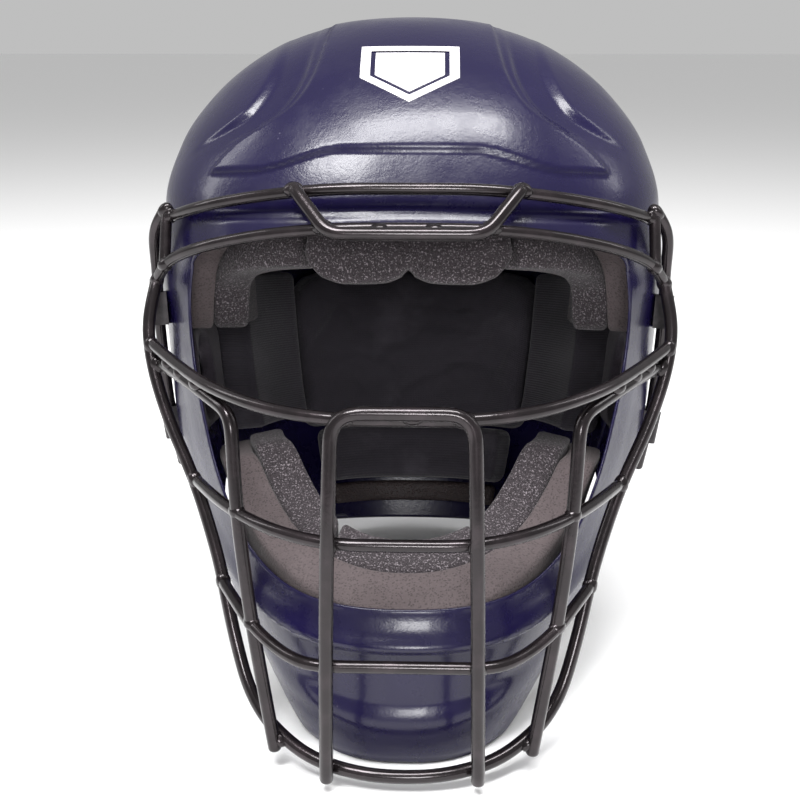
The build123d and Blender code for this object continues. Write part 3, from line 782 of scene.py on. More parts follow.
@dataclass(frozen=True)
class Cage:
    """Welded wire cage: every wire is a piece of its own, and the weld beads are one more."""

    heavy: float = 5.6
    light: float = 5.0
    reach: float = 6.4
    brow_top: Points = ((30, -98.5, 237.5), (60, -92, 235), (88, -79, 231), (105, -60, 227))
    brow_low: Points = ((30, -106.5, 221.5), (60, -98, 219), (88, -84, 214), (105, -68, 208), (112.5, -57, 199))
    guard: Points = ((31, -111.2, 219.3), (46.2, -97.8, 238))
    loop: Points = ((15, -129.5, 3), (40, -122, 7), (59, -107, 17), (67, -101, 29), (74, -95, 52), (81, -86, 80),
                    (92.5, -76, 111), (105.5, -70, 138), (113, -66, 160), (116, -63, 180), (112.5, -57, 199))
    eye: Points = ((28, -146, 151), (55, -135, 153.5), (80, -113, 159), (98, -87, 165), (113, -66, 171.5))
    hoop: Points = ((26.5, -150, 154), (28, -151.7, 104), (29, -147, 54), (30.5, -130.5, 1))
    side_hoop: Points = ((109, -66.5, 163), (94, -92, 160), (69, -119.5, 149), (67, -120, 108),
                         (62, -119, 64), (53, -116.5, 7))
    mouth: Points = ((27, -147, 103.5), (50, -137, 106), (67.5, -120, 109), (80, -101, 111), (92, -78, 113))
    chin: Points = ((38, -142, 54), (52, -129, 57), (63, -118.5, 63), (79, -89.5, 71))
    post: Points = ((106.5, -60.5, 229), (106.5, -63, 219), (106.5, -66.5, 206))

    def wires(self) -> list[Wire]:
        """Every wire; a paired one is given on the left side."""
        return [
            Wire("upper_brow_bar", self.brow_top, self.light),
            Wire("lower_brow_bar", self.brow_low, self.light),
            Wire("brow_guard_wire", self.guard, self.heavy, corner=8),
            Wire("outer_loop", self.loop, self.heavy),
            Wire("eye_bar", self.eye, self.light),
            Wire("centre_hoop", self.hoop, self.heavy, corner=9),
            Wire("mouth_bar", self.mouth, self.light),
            Wire("chin_bar", self.chin, self.light),
            Wire("side_hoop", self.side_hoop, self.heavy, corner=9, paired=True),
            Wire("side_wire", side_wire_route(), self.light, paired=True),
            Wire("brow_post", self.post, self.light, paired=True),
        ]

    def pieces(self) -> dict[str, Surface]:
        """The wires' surfaces by node name."""
        surfaces = {}
        for wire in self.wires():
            surface = tube(wire.line(), wire.gauge / 2)
            if wire.paired:
                surfaces[f"{wire.name}_left"] = surface
                surfaces[f"{wire.name}_right"] = surface.mirrored()
            else:
                surfaces[wire.name] = surface
        return surfaces

    def welds(self) -> Surface:
        """A lumpy bead wherever two wires come within reach of each other."""
        lines = []
        for wire in self.wires():
            line = wire.line()
            lines += [line, line * (-1, 1, 1)] if wire.paired else [line]
        beads = []
        for first in range(len(lines)):
            for second in range(first + 1, len(lines)):
                beads += self.meetings(lines[first], lines[second])
        return Surface.joined([self.bead(place, way, seed) for seed, (place, way) in enumerate(beads)])

    def meetings(self, one: Array, other: Array) -> list[tuple[Array, Array]]:
        """Places where two wires come closest, with the way of the first wire there."""
        gap = np.linalg.norm(one[:, None] - other[None], axis=-1)
        nearest = gap.min(1)
        found = []
        for step in np.argsort(nearest):
            if nearest[step] > self.reach:
                break
            place = (one[step] + other[gap[step].argmin()]) / 2
            if all(np.linalg.norm(place - known) > 14 for known, _ in found):
                way = one[min(step + 1, len(one) - 1)] - one[max(step - 1, 0)]
                found.append((place, unit(way)))
        return found

    def bead(self, place: Array, way: Array, seed: int) -> Surface:
        """A bead: a ball stretched along the first wire, pushed in and out by waves."""
        latitude, longitude = np.linspace(-math.pi / 2, math.pi / 2, 13)[1:-1], np.linspace(0, 2 * math.pi, 18, False)
        lat, lon = np.meshgrid(latitude, longitude, indexing="ij")
        ball = np.stack([np.cos(lat) * np.cos(lon), np.cos(lat) * np.sin(lon), np.sin(lat)], axis=-1).reshape(-1, 3)
        ball = np.concatenate([ball, [[0, 0, -1], [0, 0, 1]]])
        side = unit(np.cross(way, (0.2, 0.5, 1.0)))
        frame = np.stack([side, np.cross(way, side), way])
        lumps = 1 + 0.07 * waves(ball, 1.3, seed, octaves=2)
        points = place + (ball * lumps[:, None] * (3.25, 3.25, 4.4)) @ frame
        rows, columns = lat.shape
        south, north = rows * columns, rows * columns + 1
        loop = np.arange(columns)
        first = np.stack([np.full(columns, south), np.roll(loop, -1), loop], axis=1)
        top = (rows - 1) * columns + loop
        last = np.stack([np.full(columns, north), top, (rows - 1) * columns + np.roll(loop, -1)], axis=1)
        return Surface(points, [grid_faces(rows, columns, wrap=True), first, last])


# --- Liner and straps -------------------------------------------------------------------------------------
def bearing_edge(*pairs: tuple[float, float]) -> Edge:
    """An edge from (bearing in degrees, height) pairs."""
    return Edge(EdgeKind.BEARING, *map(tuple, zip(*pairs)))


def back_edge(*pairs: tuple[float, float]) -> Edge:
    """An edge from (distance to the back, height) pairs."""
    return Edge(EdgeKind.BACK, *map(tuple, zip(*pairs)))


def level_edge(height: float) -> Edge:
    """A level edge."""
    return bearing_edge((-360, height), (360, height))


@dataclass(frozen=True)
class Liner:
    """Foam and cloth pads inside both shells."""

    skin: float = 4.0
    firm: float = 15.5
    comfort: float = 16.0
    ear: float = 8.0
    rear: float = 22.0

    def firm_insets(self) -> tuple[float, float]:
        """Insets of the firm layer."""
        return self.skin, self.skin + self.firm

    def comfort_insets(self) -> tuple[float, float]:
        """Insets of the comfort layer."""
        return self.skin + self.firm + 0.4, self.skin + self.firm + self.comfort

    def brow_lobes(self) -> Edge:
        """Lower edge of the brow comfort pad: two lobes with a notch between them."""
        half = ((0, 206.5), (2.2, 203), (8, 200), (17, 199.5), (23, 202), (27, 208), (29, 213))
        return bearing_edge(*[(-b, h) for b, h in reversed(half[1:])], *half)

    def front_pads(self) -> list[Pad]:
        """Pads on the middle plane of the front shell."""
        jaw = BeltMap((-75, 75), back_edge((-118, 30), (-78, 26), (-48, 50), (-12, 78)),
                      back_edge((-118, 65), (-98, 77), (-72, 92), (-57, 106), (-51, 114.5), (-47, 116), (-12, 116)),
                      JAW_HULL)
        chin = BeltMap((-17.5, 17.5), back_edge((-104, 42), (-74, 44)), back_edge((-101, 75), (-84, 83), (-66, 94)),
                       JAW_HULL)
        brow = BeltMap((-28, 28), level_edge(222.5), level_edge(262))
        lobes = BeltMap((-29, 29), self.brow_lobes(), level_edge(262))
        return [
            Pad("brow_firm_pad", brow, self.firm_insets(), (100, 40), edge=2),
            Pad("brow_comfort_pad", lobes, self.comfort_insets(), (84, 60), 1.6, edge=3.2, crown=1.5),
            Pad("jaw_firm_pad", jaw, self.firm_insets(), (290, 48), 2.2, edge=2.2),
            Pad("chin_comfort_pad", chin, self.comfort_insets(), (58, 38), 1.6, edge=3, crown=1.0),
            Pad("crown_pad", CapMap((-48, 48), (-56, 36)), self.firm_insets(), (96, 96), edge=3),
        ]

    def side_pads(self) -> list[Pad]:
        """Left pads of the front shell; each has a mirror image."""
        temple = BeltMap((29, 104), bearing_edge((29, 221), (45, 220), (52, 216), (58, 204), (62, 185), (66, 176),
                                                 (104, 176)), level_edge(262))
        inner = BeltMap((30, 104), bearing_edge((30, 207), (40, 206), (52, 203), (60, 196), (64.5, 178), (67, 176),
                                                (104, 176)), level_edge(262))
        cheek = BeltMap((18.5, 68), back_edge((-100, 46), (-74, 44), (-52, 66), (-20, 92), (-14, 98)),
                        back_edge((-101, 74.5), (-84, 83), (-66, 94), (-54, 108), (-48, 118), (-44, 120), (-14, 120)),
                        JAW_HULL)
        return [
            Pad("temple_firm_pad", temple, self.firm_insets(), (150, 75), 2.5, edge=2.2),
            Pad("temple_comfort_pad", inner, self.comfort_insets(), (130, 75), 2.2, edge=3, crown=1.0),
            Pad("cheek_comfort_pad", cheek, self.comfort_insets(), (84, 44), 1.8, edge=3, crown=1.0),
        ]

    def rear_pads(self) -> list[Pad]:
        """Cloth-covered pads of the rear shell on its middle plane."""
        insets = (self.skin, self.skin + self.rear)
        back = BeltMap((145, 215), level_edge(104), bearing_edge((145, 188), (150, 197), (158, 200), (202, 200),
                                                                 (210, 197), (215, 188)))
        lower = BeltMap((149, 211), level_edge(70.5), level_edge(102.5))
        trim = BeltMap((152, 208), level_edge(56.5), level_edge(68.5))
        return [
            Pad("rear_pad", back, (self.skin, self.skin + self.rear - 4), (140, 96), 1.3, 7, 4.5, 1.9, seed=5),
            Pad("rear_lower_pad", lower, insets, (128, 28), 1.8, edge=6, crown=0.0, creases=0.6, seed=9),
            Pad("nape_trim", trim, (self.skin, self.skin + self.ear), (118, 12), 2.0, edge=3),
        ]

    def rear_side_pads(self) -> list[Pad]:
        """Left side pad of the rear shell; it has a mirror image."""
        lay = BeltMap((111, 142), level_edge(112), level_edge(200))
        return [Pad("rear_side_pad", lay, (self.skin, self.skin + self.rear), (66, 88), 2.4, edge=4, crown=0.0)]

    def ear_pad(self) -> Surface:
        """Left ear pad: a ring between a round port and a rounded rectangle, with a rounded section."""
        turns = np.linspace(0, 2 * math.pi, 97)[:-1]
        centre, port, half = np.array([-2.0, 150.0]), 22.0, np.array([41.0, 24.6])
        aim = np.stack([np.cos(turns), np.sin(turns)], axis=1)
        reach = (np.abs(aim[:, 0] / half[0]) ** 7 + np.abs(aim[:, 1] / half[1]) ** 7) ** (-1 / 7)
        lap = np.linspace(0, 2 * math.pi, 29)[:-1]
        corner = 5.0
        share = 0.5 - 0.5 * np.sign(np.cos(lap)) * np.abs(np.cos(lap)) ** (2 / corner)
        depth = self.ear * (0.5 - 0.5 * np.sign(np.sin(lap)) * np.abs(np.sin(lap)) ** (2 / corner))
        radius = port + (np.maximum(reach, port + 2.2)[:, None] - port) * share[None]
        plan = centre + aim[:, None] * radius[..., None]
        y, z = plan[..., 0], plan[..., 1]
        x = HULL.side_skin(y, z) - self.skin - depth[None]
        points = np.stack([x, y, z], axis=-1)
        faces = grid_faces(len(turns) + 1, len(lap), wrap=True) % (len(turns) * len(lap))
        return Surface(points.reshape(-1, 3), [faces])


@dataclass(frozen=True)
class Straps:
    """Elastic straps over the seam between the shells."""

    lift: float = 0.4
    sheet: float = 1.6
    width: float = 22.0
    front: float = 24.0
    back: float = 74.0
    side_height: float = 190.0
    stretch: tuple[float, float] = (34.0, 64.0)

    def pads(self) -> list[Pad]:
        """Top strap and left side strap."""
        insets = (-self.lift - self.sheet, -self.lift)
        half = self.width / 2
        ends = [self.bearing(self.front), self.bearing(self.back)]
        side = BeltMap((ends[0], ends[1]), level_edge(self.side_height - half), level_edge(self.side_height + half))
        length = self.back - self.front
        return [
            Pad("top_strap", CapMap((-half, half), (self.front, self.back)), insets, (self.width, length), 1.4, 0.7),
            Pad("side_strap", side, insets, (length, self.width), 1.4, 0.7),
        ]

    def bearing(self, back: float) -> float:
        """Bearing in degrees of a place on the side, at the side straps' height."""
        half = float(HULL.side_skin(np.array(back), np.array(self.side_height)))
        widest = float(HULL.level(np.array(self.side_height))[3])
        return 90 + math.degrees(math.atan2(back - widest, half))


# --- Decal ------------------------------------------------------------------------------------------------
@dataclass(frozen=True)
class Decal:
    """Plate-shaped vinyl on the forehead panel: a border and an inner field with a gap between them."""

    height: float = 287.0
    corners: tuple[tuple[float, float], ...] = ((-21, 12), (21, 12), (21, -3), (0, -14), (-21, -3))
    border: float = 0.80
    field_share: float = 0.70
    under: float = 1.78
    over: float = 2.12

    def edge(self, per_side: int = 16) -> Array:
        """The outline, evenly stepped along each side."""
        corners = np.array(self.corners, float)
        share = np.linspace(0, 1, per_side, endpoint=False)[:, None]
        return np.concatenate([a * (1 - share) + b * share for a, b in zip(corners, np.roll(corners, -1, 0))])

    def lay(self, plan: Array, rise: float) -> Array:
        """Places on the front of the hull over (across, up) offsets, raised along the hull's outward way."""
        x, z = plan[..., 0], plan[..., 1] + self.height
        points = []
        for dx, dz in ((0, 0), (0.5, 0), (0, 0.5)):
            front, _, half, widest, fullness = HULL.level(z + dz)
            share = np.clip(1 - np.abs((x + dx) / half) ** fullness, 0, 1) ** (1 / fullness)
            points.append(np.stack([x + dx, widest - (widest - front) * share, z + dz], axis=-1))
        way = unit(np.cross(points[1] - points[0], points[2] - points[0]))
        return points[0] + way * rise

    def band(self, inner: float, outer: float, rings: int) -> Surface:
        """The part of the plate between two shares of its outline, as a thin closed sheet."""
        edge, middle = self.edge(), np.array([0.0, 1.0])
        shares = np.linspace(inner, outer, rings)[:, None, None]
        plan = middle + (edge - middle)[None] * shares
        top, bottom = self.lay(plan, self.over), self.lay(plan, self.under)
        rows = np.concatenate([top, bottom[::-1], top[:1]])
        count, columns = rows.shape[:2]
        faces = grid_faces(count, columns, wrap=True)
        return Surface(rows[:-1].reshape(-1, 3), [faces % ((count - 1) * columns)])

    def surface(self) -> Surface:
        """Border and field as one piece."""
        return Surface.joined([self.band(self.border, 1.0, 4), self.band(0.02, self.field_share, 14)])


# --- Shader expressions -----------------------------------------------------------------------------------
class Value:
    """A number that varies over a surface; arithmetic on it adds Math nodes."""

    def __init__(self, shader: Shader, socket: bpy.types.NodeSocket) -> None:
        """Wrap an output socket of a shader."""
        self.shader = shader
        self.socket = socket

    def math(self, operation: str, *others: Value | float, first: Value | float | None = None) -> Value:
        """Apply a Math operation, with this value first unless another one is given."""
        sockets = dict(enumerate((self if first is None else first, *others)))
        return self.shader.value("ShaderNodeMath", {"operation": operation}, sockets)

    def __add__(self, other: Value | float) -> Value:
        """Sum."""
        return self.math("ADD", other)

    __radd__ = __add__

    def __sub__(self, other: Value | float) -> Value:
        """Difference."""
        return self.math("SUBTRACT", other)

    def __rsub__(self, other: float) -> Value:
        """Difference from a number, as in 1 - mask."""
        return self.math("SUBTRACT", self, first=other)

    def __mul__(self, other: Value | float) -> Value:
        """Product."""
        return self.math("MULTIPLY", other)

    __rmul__ = __mul__

    def sine(self) -> Value:
        """Sine of the value in radians."""
        return self.math("SINE")

    def eased(self, low: float, high: float) -> Value:
        """Smooth step from 0 at low to 1 at high."""
        settings = {"interpolation_type": "SMOOTHSTEP"}
        return self.shader.value("ShaderNodeMapRange", settings, {"Value": self, "From Min": low, "From Max": high})


Colour = tuple[float, float, float, float]


def shade(red: float, green: float, blue: float) -> Colour:
    """Linear colour from display levels of 0 to 255."""
    levels = np.array([red, green, blue]) / 255
    linear = np.where(levels <= 0.04045, levels / 12.92, ((levels + 0.055) / 1.055) ** 2.4)
    return (*map(float, linear), 1.0)


class Shader:
    """Node tree of one finish."""

    def __init__(self, name: str) -> None:
        """Start an empty node tree in a new material."""
        self.material = bpy.data.materials.new(name)
        self.material.use_nodes = True
        self.tree = self.material.node_tree
        self.tree.nodes.clear()

    def node(self, kind: str, settings: dict | None = None, inputs: dict | None = None) -> bpy.types.Node:
        """Add a node: its settings first, then the values or links of its sockets.

        Args:
            kind: node type.
            settings: properties of the node.
            inputs: sockets by name or place, each with a constant, a Value or a socket.

        Returns:
            The node.
        """
        made = self.tree.nodes.new(kind)
        for key, value in (settings or {}).items():
            setattr(made, key, value)
        for key, value in (inputs or {}).items():
            source = value.socket if isinstance(value, Value) else value
            if isinstance(source, bpy.types.NodeSocket):
                self.tree.links.new(source, made.inputs[key])
            else:
                made.inputs[key].default_value = source
        return made

    def value(self, kind: str, settings: dict | None = None, inputs: dict | None = None) -> Value:
        """Add a node and wrap its first output."""
        return Value(self, self.node(kind, settings, inputs).outputs[0])

    def place(self) -> bpy.types.NodeSocket:
        """Object coordinates, in metres."""
        return self.node("ShaderNodeTexCoord").outputs["Object"]

    def cloth(self) -> tuple[Value, Value]:
        """The two cloth coordinates, in metres."""
        parts = self.node("ShaderNodeSeparateXYZ", None, {0: self.node("ShaderNodeUVMap").outputs[0]})
        return Value(self, parts.outputs[0]), Value(self, parts.outputs[1])

    def noise(self, size: float, detail: float = 2.0, rough: float = 0.5) -> Value:
        """Fractal noise with lumps of a size in metres."""
        inputs = {"Vector": self.place(), "Scale": 1 / size, "Detail": detail, "Roughness": rough}
        return self.value("ShaderNodeTexNoise", None, inputs)

    def cells(self, size: float) -> Value:
        """Distance to the nearest of scattered points a size in metres apart."""
        return self.value("ShaderNodeTexVoronoi", None, {"Vector": self.place(), "Scale": 1 / size})

    def mix(self, share: Value, first: Colour, second: Colour | bpy.types.NodeSocket,
            under: bpy.types.NodeSocket | None = None) -> bpy.types.NodeSocket:
        """Blend two colours; under takes the first one's place where it is given."""
        inputs = {0: share, 6: first if under is None else under, 7: second}
        return self.node("ShaderNodeMix", {"data_type": "RGBA"}, inputs).outputs[2]

    def bump(self, height: Value, distance: float, strength: float = 1.0) -> bpy.types.NodeSocket:
        """Normal bent by a height of 0 to 1 that stands for a distance in metres."""
        inputs = {"Strength": strength, "Distance": distance, "Height": height}
        return self.node("ShaderNodeBump", None, inputs).outputs[0]

    def finish(self, inputs: dict) -> bpy.types.Material:
        """Close the tree with the surface shader and return the material."""
        surface = self.node("ShaderNodeBsdfPrincipled", None, inputs)
        self.node("ShaderNodeOutputMaterial", None, {"Surface": surface.outputs[0]})
        return self.material


# --- Finishes ---------------------------------------------------------------------------------------------
@dataclass(frozen=True)
class ShellPaint:
    """Gloss moulded navy plastic: slow colour drift, orange peel, and dust that dulls it in places."""

    name: str = "shell_paint"
    navy: Colour = shade(19, 13, 52)
    deep: Colour = shade(13, 9, 38)
    dust: Colour = shade(96, 90, 112)

    def material(self) -> bpy.types.Material:
        """Build the finish."""
        shader = Shader(self.name)
        drift = shader.noise(0.06, 3.0)
        grime = shader.noise(0.02, 5.0, 0.65)
        specks = (1 - shader.cells(0.0045).eased(0.05, 0.11)) * shader.noise(0.03).eased(0.56, 0.7)
        body = shader.mix(drift, self.navy, self.deep)
        colour = shader.mix(specks * 0.35, self.navy, self.dust, under=body)
        peel = shader.noise(0.003, 2.0) + shader.noise(0.0009, 1.0) * 0.5
        return shader.finish({
            "Base Color": colour, "Roughness": 0.26 + grime.eased(0.45, 0.75) * 0.1 + specks * 0.2,
            "Specular IOR Level": 0.34, "Coat Weight": 0.1, "Coat Roughness": 0.1,
            "Normal": shader.bump(peel, 0.00008)})


@dataclass(frozen=True)
class CageCoat:
    """Dark satin coat on steel wire, a little brown where the light catches it, with fine pitting."""

    name: str = "cage_coat"
    coat: Colour = shade(34, 29, 31)
    thin: Colour = shade(48, 41, 44)

    def material(self) -> bpy.types.Material:
        """Build the finish."""
        shader = Shader(self.name)
        drift = shader.noise(0.012, 4.0, 0.6)
        pits = 1 - shader.cells(0.0018).eased(0.06, 0.2)
        colour = shader.mix(drift.eased(0.42, 0.72), self.coat, self.thin)
        return shader.finish({
            "Base Color": colour, "Metallic": 0.7, "Roughness": 0.2 + drift * 0.06 + pits * 0.05,
            "Specular IOR Level": 0.5, "Coat Weight": 0.25, "Coat Roughness": 0.12,
            "Normal": shader.bump(shader.noise(0.0016, 3.0) - pits * 0.3, 0.00006)})


@dataclass(frozen=True)
class Foam:
    """Cut or moulded foam: pores of one size with painted shade in them, pale specks, and slow mottling."""

    name: str
    body: Colour
    speck: Colour
    pore: float
    specks: float
    depth: float

    def material(self) -> bpy.types.Material:
        """Build the finish."""
        shader = Shader(self.name)
        mottle = shader.noise(0.018, 4.0, 0.6)
        pores = shader.cells(self.pore)
        grain = shader.noise(self.pore * 0.8, 3.0, 0.7)
        # painted shade: this colour darkens the pores, the pits that the bump sinks
        pore_shade_colour = tuple(c * 0.45 for c in self.body[:3]) + (1.0,)
        light = tuple(min(c * 1.35, 1.0) for c in self.body[:3]) + (1.0,)
        base = shader.mix(mottle, self.body, light)
        # painted shade in the pores, strongest at each pore's middle
        pore_shade_mask = 1 - pores.eased(0.12, 0.5)
        base = shader.mix(pore_shade_mask * 0.75, self.body, pore_shade_colour, under=base)
        base = shader.mix(grain.eased(0.55, 0.64) * self.specks, self.body, self.speck, under=base)
        height = pores.eased(0.0, 0.6) + grain * 0.6
        return shader.finish({
            "Base Color": base, "Roughness": 0.82 + mottle * 0.12, "Specular IOR Level": 0.25,
            "Sheen Weight": 0.12, "Sheen Roughness": 0.5, "Normal": shader.bump(height, self.depth)})


@dataclass(frozen=True)
class PadCloth:
    """Charcoal jersey: rows of small stitches along the cloth coordinates, with fuzz and worn patches."""

    name: str = "pad_cloth"
    body: Colour = shade(46, 43, 49)
    worn: Colour = shade(70, 66, 73)
    stitch: float = 0.0011

    def material(self) -> bpy.types.Material:
        """Build the finish."""
        shader = Shader(self.name)
        along, up = shader.cloth()
        turn = 2 * math.pi / self.stitch
        wale = (along * turn).sine()
        course = (up * (turn * 0.8) + wale * 1.1).sine()
        knit = course * 0.5 + wale * 0.25
        fuzz = shader.noise(0.0007, 3.0, 0.7)
        wear = shader.noise(0.03, 4.0, 0.6).eased(0.5, 0.75)
        base = shader.mix(wear * 0.5 + knit * 0.12 + fuzz * 0.15, self.body, self.worn)
        return shader.finish({
            "Base Color": base, "Roughness": 0.8 + fuzz * 0.15, "Specular IOR Level": 0.2,
            "Sheen Weight": 0.2, "Sheen Roughness": 0.4, "Normal": shader.bump(knit * 0.6 + fuzz, 0.00025)})


@dataclass(frozen=True)
class TrimLeather:
    """Brown synthetic leather: rounded grain cells with creases between them, the creases painted darker as shade."""

    name: str = "trim_leather"
    body: Colour = shade(58, 45, 45)
    # painted shade for the creases, also mixed in a little at random as tone
    crease_shade_and_tone: Colour = shade(30, 24, 25)

    def material(self) -> bpy.types.Material:
        """Build the finish."""
        shader = Shader(self.name)
        grain = shader.cells(0.0013).eased(0.1, 0.65)
        tone = shader.noise(0.02, 4.0, 0.6)
        # painted shade: the creases between grain cells, where the bump sinks, take the darker colour; random tone
        # adds a little of it too
        base = shader.mix(grain * 0.6 + tone * 0.3, self.body, self.crease_shade_and_tone)
        return shader.finish({
            "Base Color": base, "Roughness": 0.5 + tone * 0.2, "Specular IOR Level": 0.4,
            "Normal": shader.bump((1 - grain) + tone * 0.4, 0.0003)})


@dataclass(frozen=True)
class Webbing:
    """Woven elastic: ribs along its length, crossed by tight weft rows, with dulled edges."""

    name: str = "strap_webbing"
    body: Colour = shade(26, 25, 28)
    thread: Colour = shade(62, 60, 66)
    rib: float = 0.0021
    row: float = 0.0012
    lengthways: int = 0

    def material(self) -> bpy.types.Material:
        """Build the finish."""
        shader = Shader(self.name)
        coordinates = shader.cloth()
        along, over = coordinates[self.lengthways], coordinates[1 - self.lengthways]
        ribs = (over * (2 * math.pi / self.rib)).sine()
        rows = (along * (2 * math.pi / self.row) + ribs * 1.4).sine()
        fuzz = shader.noise(0.0005, 2.0, 0.6)
        weave = ribs * 0.45 + rows * 0.4
        base = shader.mix((weave * 0.3 + fuzz * 0.5).eased(0.1, 0.7) * 0.7, self.body, self.thread)
        return shader.finish({
            "Base Color": base, "Roughness": 0.72 + fuzz * 0.2, "Specular IOR Level": 0.3,
            "Sheen Weight": 0.1, "Normal": shader.bump(weave + fuzz * 0.4, 0.00035)})


@dataclass(frozen=True)
class Metal:
    """Plated or coated steel: cloudy tone and fine machining noise."""

    name: str
    body: Colour
    worn: Colour
    metallic: float
    rough: float

    def material(self) -> bpy.types.Material:
        """Build the finish."""
        shader = Shader(self.name)
        cloud = shader.noise(0.006, 5.0, 0.65)
        fine = shader.noise(0.0007, 3.0, 0.6)
        return shader.finish({
            "Base Color": shader.mix(cloud.eased(0.35, 0.75), self.body, self.worn), "Metallic": self.metallic,
            "Roughness": self.rough + cloud * 0.15 + fine * 0.06, "Normal": shader.bump(fine, 0.00006)})


@dataclass(frozen=True)
class Vinyl:
    """White printed vinyl with faint yellowing and a soft gloss."""

    name: str = "decal_vinyl"
    body: Colour = shade(236, 234, 238)
    aged: Colour = shade(214, 211, 214)

    def material(self) -> bpy.types.Material:
        """Build the finish."""
        shader = Shader(self.name)
        tone = shader.noise(0.01, 4.0, 0.6)
        return shader.finish({
            "Base Color": shader.mix(tone.eased(0.4, 0.8), self.body, self.aged),
            "Roughness": 0.34 + tone * 0.12, "Coat Weight": 0.2,
            "Normal": shader.bump(shader.noise(0.0015, 2.0), 0.00003)})


class Foams(Enum):
    """The three foams of the liner."""

    FIRM = Foam("firm_foam", shade(73, 65, 66), shade(104, 95, 97), 0.0011, 0.25, 0.00022)
    COMFORT = Foam("comfort_foam", shade(45, 40, 43), shade(146, 138, 143), 0.0010, 0.7, 0.00035)
    EAR = Foam("ear_foam", shade(50, 45, 52), shade(80, 74, 82), 0.0010, 0.3, 0.0002)


class Metals(Enum):
    """Finishes of the clips and the fixings."""

    CLIP = Metal("clip_black", shade(30, 28, 30), shade(62, 58, 60), 0.6, 0.34)
    ZINC = Metal("zinc_plate", shade(172, 172, 176), shade(120, 120, 124), 1.0, 0.26)


# --- Bench ------------------------------------------------------------------------------------------------
class Bench:
    """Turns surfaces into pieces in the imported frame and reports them."""

    def __init__(self, frame: dict, stance: Stance) -> None:
        """Keep the frame's CAD nodes and the stance that places every surface."""
        self.nodes = frame["nodes"]
        self.stance = stance

    def mesh(self, name: str, surface: Surface) -> bpy.types.Mesh:
        """Mesh in metres; a closed surface whose signed volume is negative is turned."""
        points = self.stance.places(surface.points)
        origin = points.mean(0)
        volume = 0.0
        for face in surface.faces:
            for second in range(1, face.shape[1] - 1):
                a, b, c = (points[face[:, k]] - origin for k in (0, second, second + 1))
                volume += float((a * np.cross(b, c)).sum())
        faces = [f if volume > 0 else f[:, ::-1] for f in surface.faces]
        made = bpy.data.meshes.new(name)
        made.from_pydata(points.tolist(), [], [face for f in faces for face in f.tolist()])
        if surface.cloth is not None:
            corners = np.empty(len(made.loops), np.int32)
            made.loops.foreach_get("vertex_index", corners)
            made.uv_layers.new(name="cloth").data.foreach_set("uv", surface.cloth[corners].astype(np.float32).ravel())
        made.polygons.foreach_set("use_smooth", np.ones(len(made.polygons), bool))
        made.update()
        return made

    def piece(self, name: str, surface: Surface, material: bpy.types.Material, slot: str,
              nodes: Sequence[str] = ()) -> bpy.types.Object:
        """Make a piece, give it its finish, and let it stand for its CAD nodes.

        Args:
            name: the piece's name.
            surface: its shape.
            material: its finish.
            slot: the record's material slot; not used.
            nodes: CAD nodes that it replaces.

        Returns:
            The object, which rides on nothing yet.
        """
        made = bpy.data.objects.new(name, self.mesh(name, surface))
        bpy.context.scene.collection.objects.link(made)
        made.data.materials.append(material)
        if nodes:
            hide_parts(*nodes)
        LOG.info("%s: %d faces", name, len(made.data.polygons))
        return made

    def rides(self, body: str, *arguments: object) -> bpy.types.Object:
        """Make a piece that rides on one body."""
        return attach(self.piece(*arguments), body)

    def pad(self, body: str, pad: Pad, material: bpy.types.Material, slot: str, fill: float,
            paired: bool = False) -> None:
        """Make a padded piece, and its mirror image if it is one of a pair."""
        surface = pad.surface()
        sides = (("_left", surface), ("_right", surface.mirrored())) if paired else (("", surface),)
        for side, shape in sides:
            name = pad.name + side
            self.rides(body, f"{name}_foam", shape, material, slot, (name,))

    def dress(self, prefixes: Sequence[str], material: bpy.types.Material) -> None:
        """Give CAD nodes whose shape is right a better finish."""
        for name, node in self.nodes.items():
            if name.startswith(tuple(prefixes)):
                node.data.materials.clear()
                node.data.materials.append(material)
                LOG.info("%s: dressed", name)


# --- Room -------------------------------------------------------------------------------------------------
@dataclass(frozen=True)
class Lamp:
    """A soft rectangular light aimed at the mask."""

    name: str
    place: tuple[float, float, float]
    size: tuple[float, float]
    power: float

    def make(self, target: Vector) -> None:
        """Add the light."""
        data = bpy.data.lights.new(self.name, "AREA")
        data.shape, data.size, data.size_y, data.energy = "RECTANGLE", *self.size, self.power
        lamp = bpy.data.objects.new(self.name, data)
        bpy.context.scene.collection.objects.link(lamp)
        lamp.location = self.place
        lamp.rotation_euler = (target - lamp.location).to_track_quat("-Z", "Y").to_euler()


@dataclass(frozen=True)
class Camera:
    """Where the mask is seen from, in its wearing frame: place in mm, and turns in degrees."""

    place: tuple[float, float, float] = (10, -547, 215)
    pitch: float = 8.0
    yaw: float = 1.6
    roll: float = 0.3
    lens: float = 49.5
    sensor: float = 36.0

    def make(self, stance: Stance) -> None:
        """Add the scene's camera: turned about Z, tipped down, then rolled."""
        turn = Matrix.Rotation(math.radians(self.yaw), 3, "Z") @ Matrix.Rotation(math.radians(-self.pitch), 3, "X")
        right, ahead, up = (np.array(turn.col[k]) for k in range(3))
        cos, sin = math.cos(math.radians(self.roll)), math.sin(math.radians(self.roll))
        axes = stance.ways(np.array([cos * right + sin * up, cos * up - sin * right, -ahead]))
        data = bpy.data.cameras.new("view")
        data.lens, data.sensor_width = self.lens, self.sensor
        data.clip_start = 0.01
        camera = bpy.data.objects.new("view", data)
        bpy.context.scene.collection.objects.link(camera)
        camera.matrix_world = Matrix.Translation(stance.places(np.array(self.place))) @ Matrix(axes.T).to_4x4()
        bpy.context.scene.camera = camera


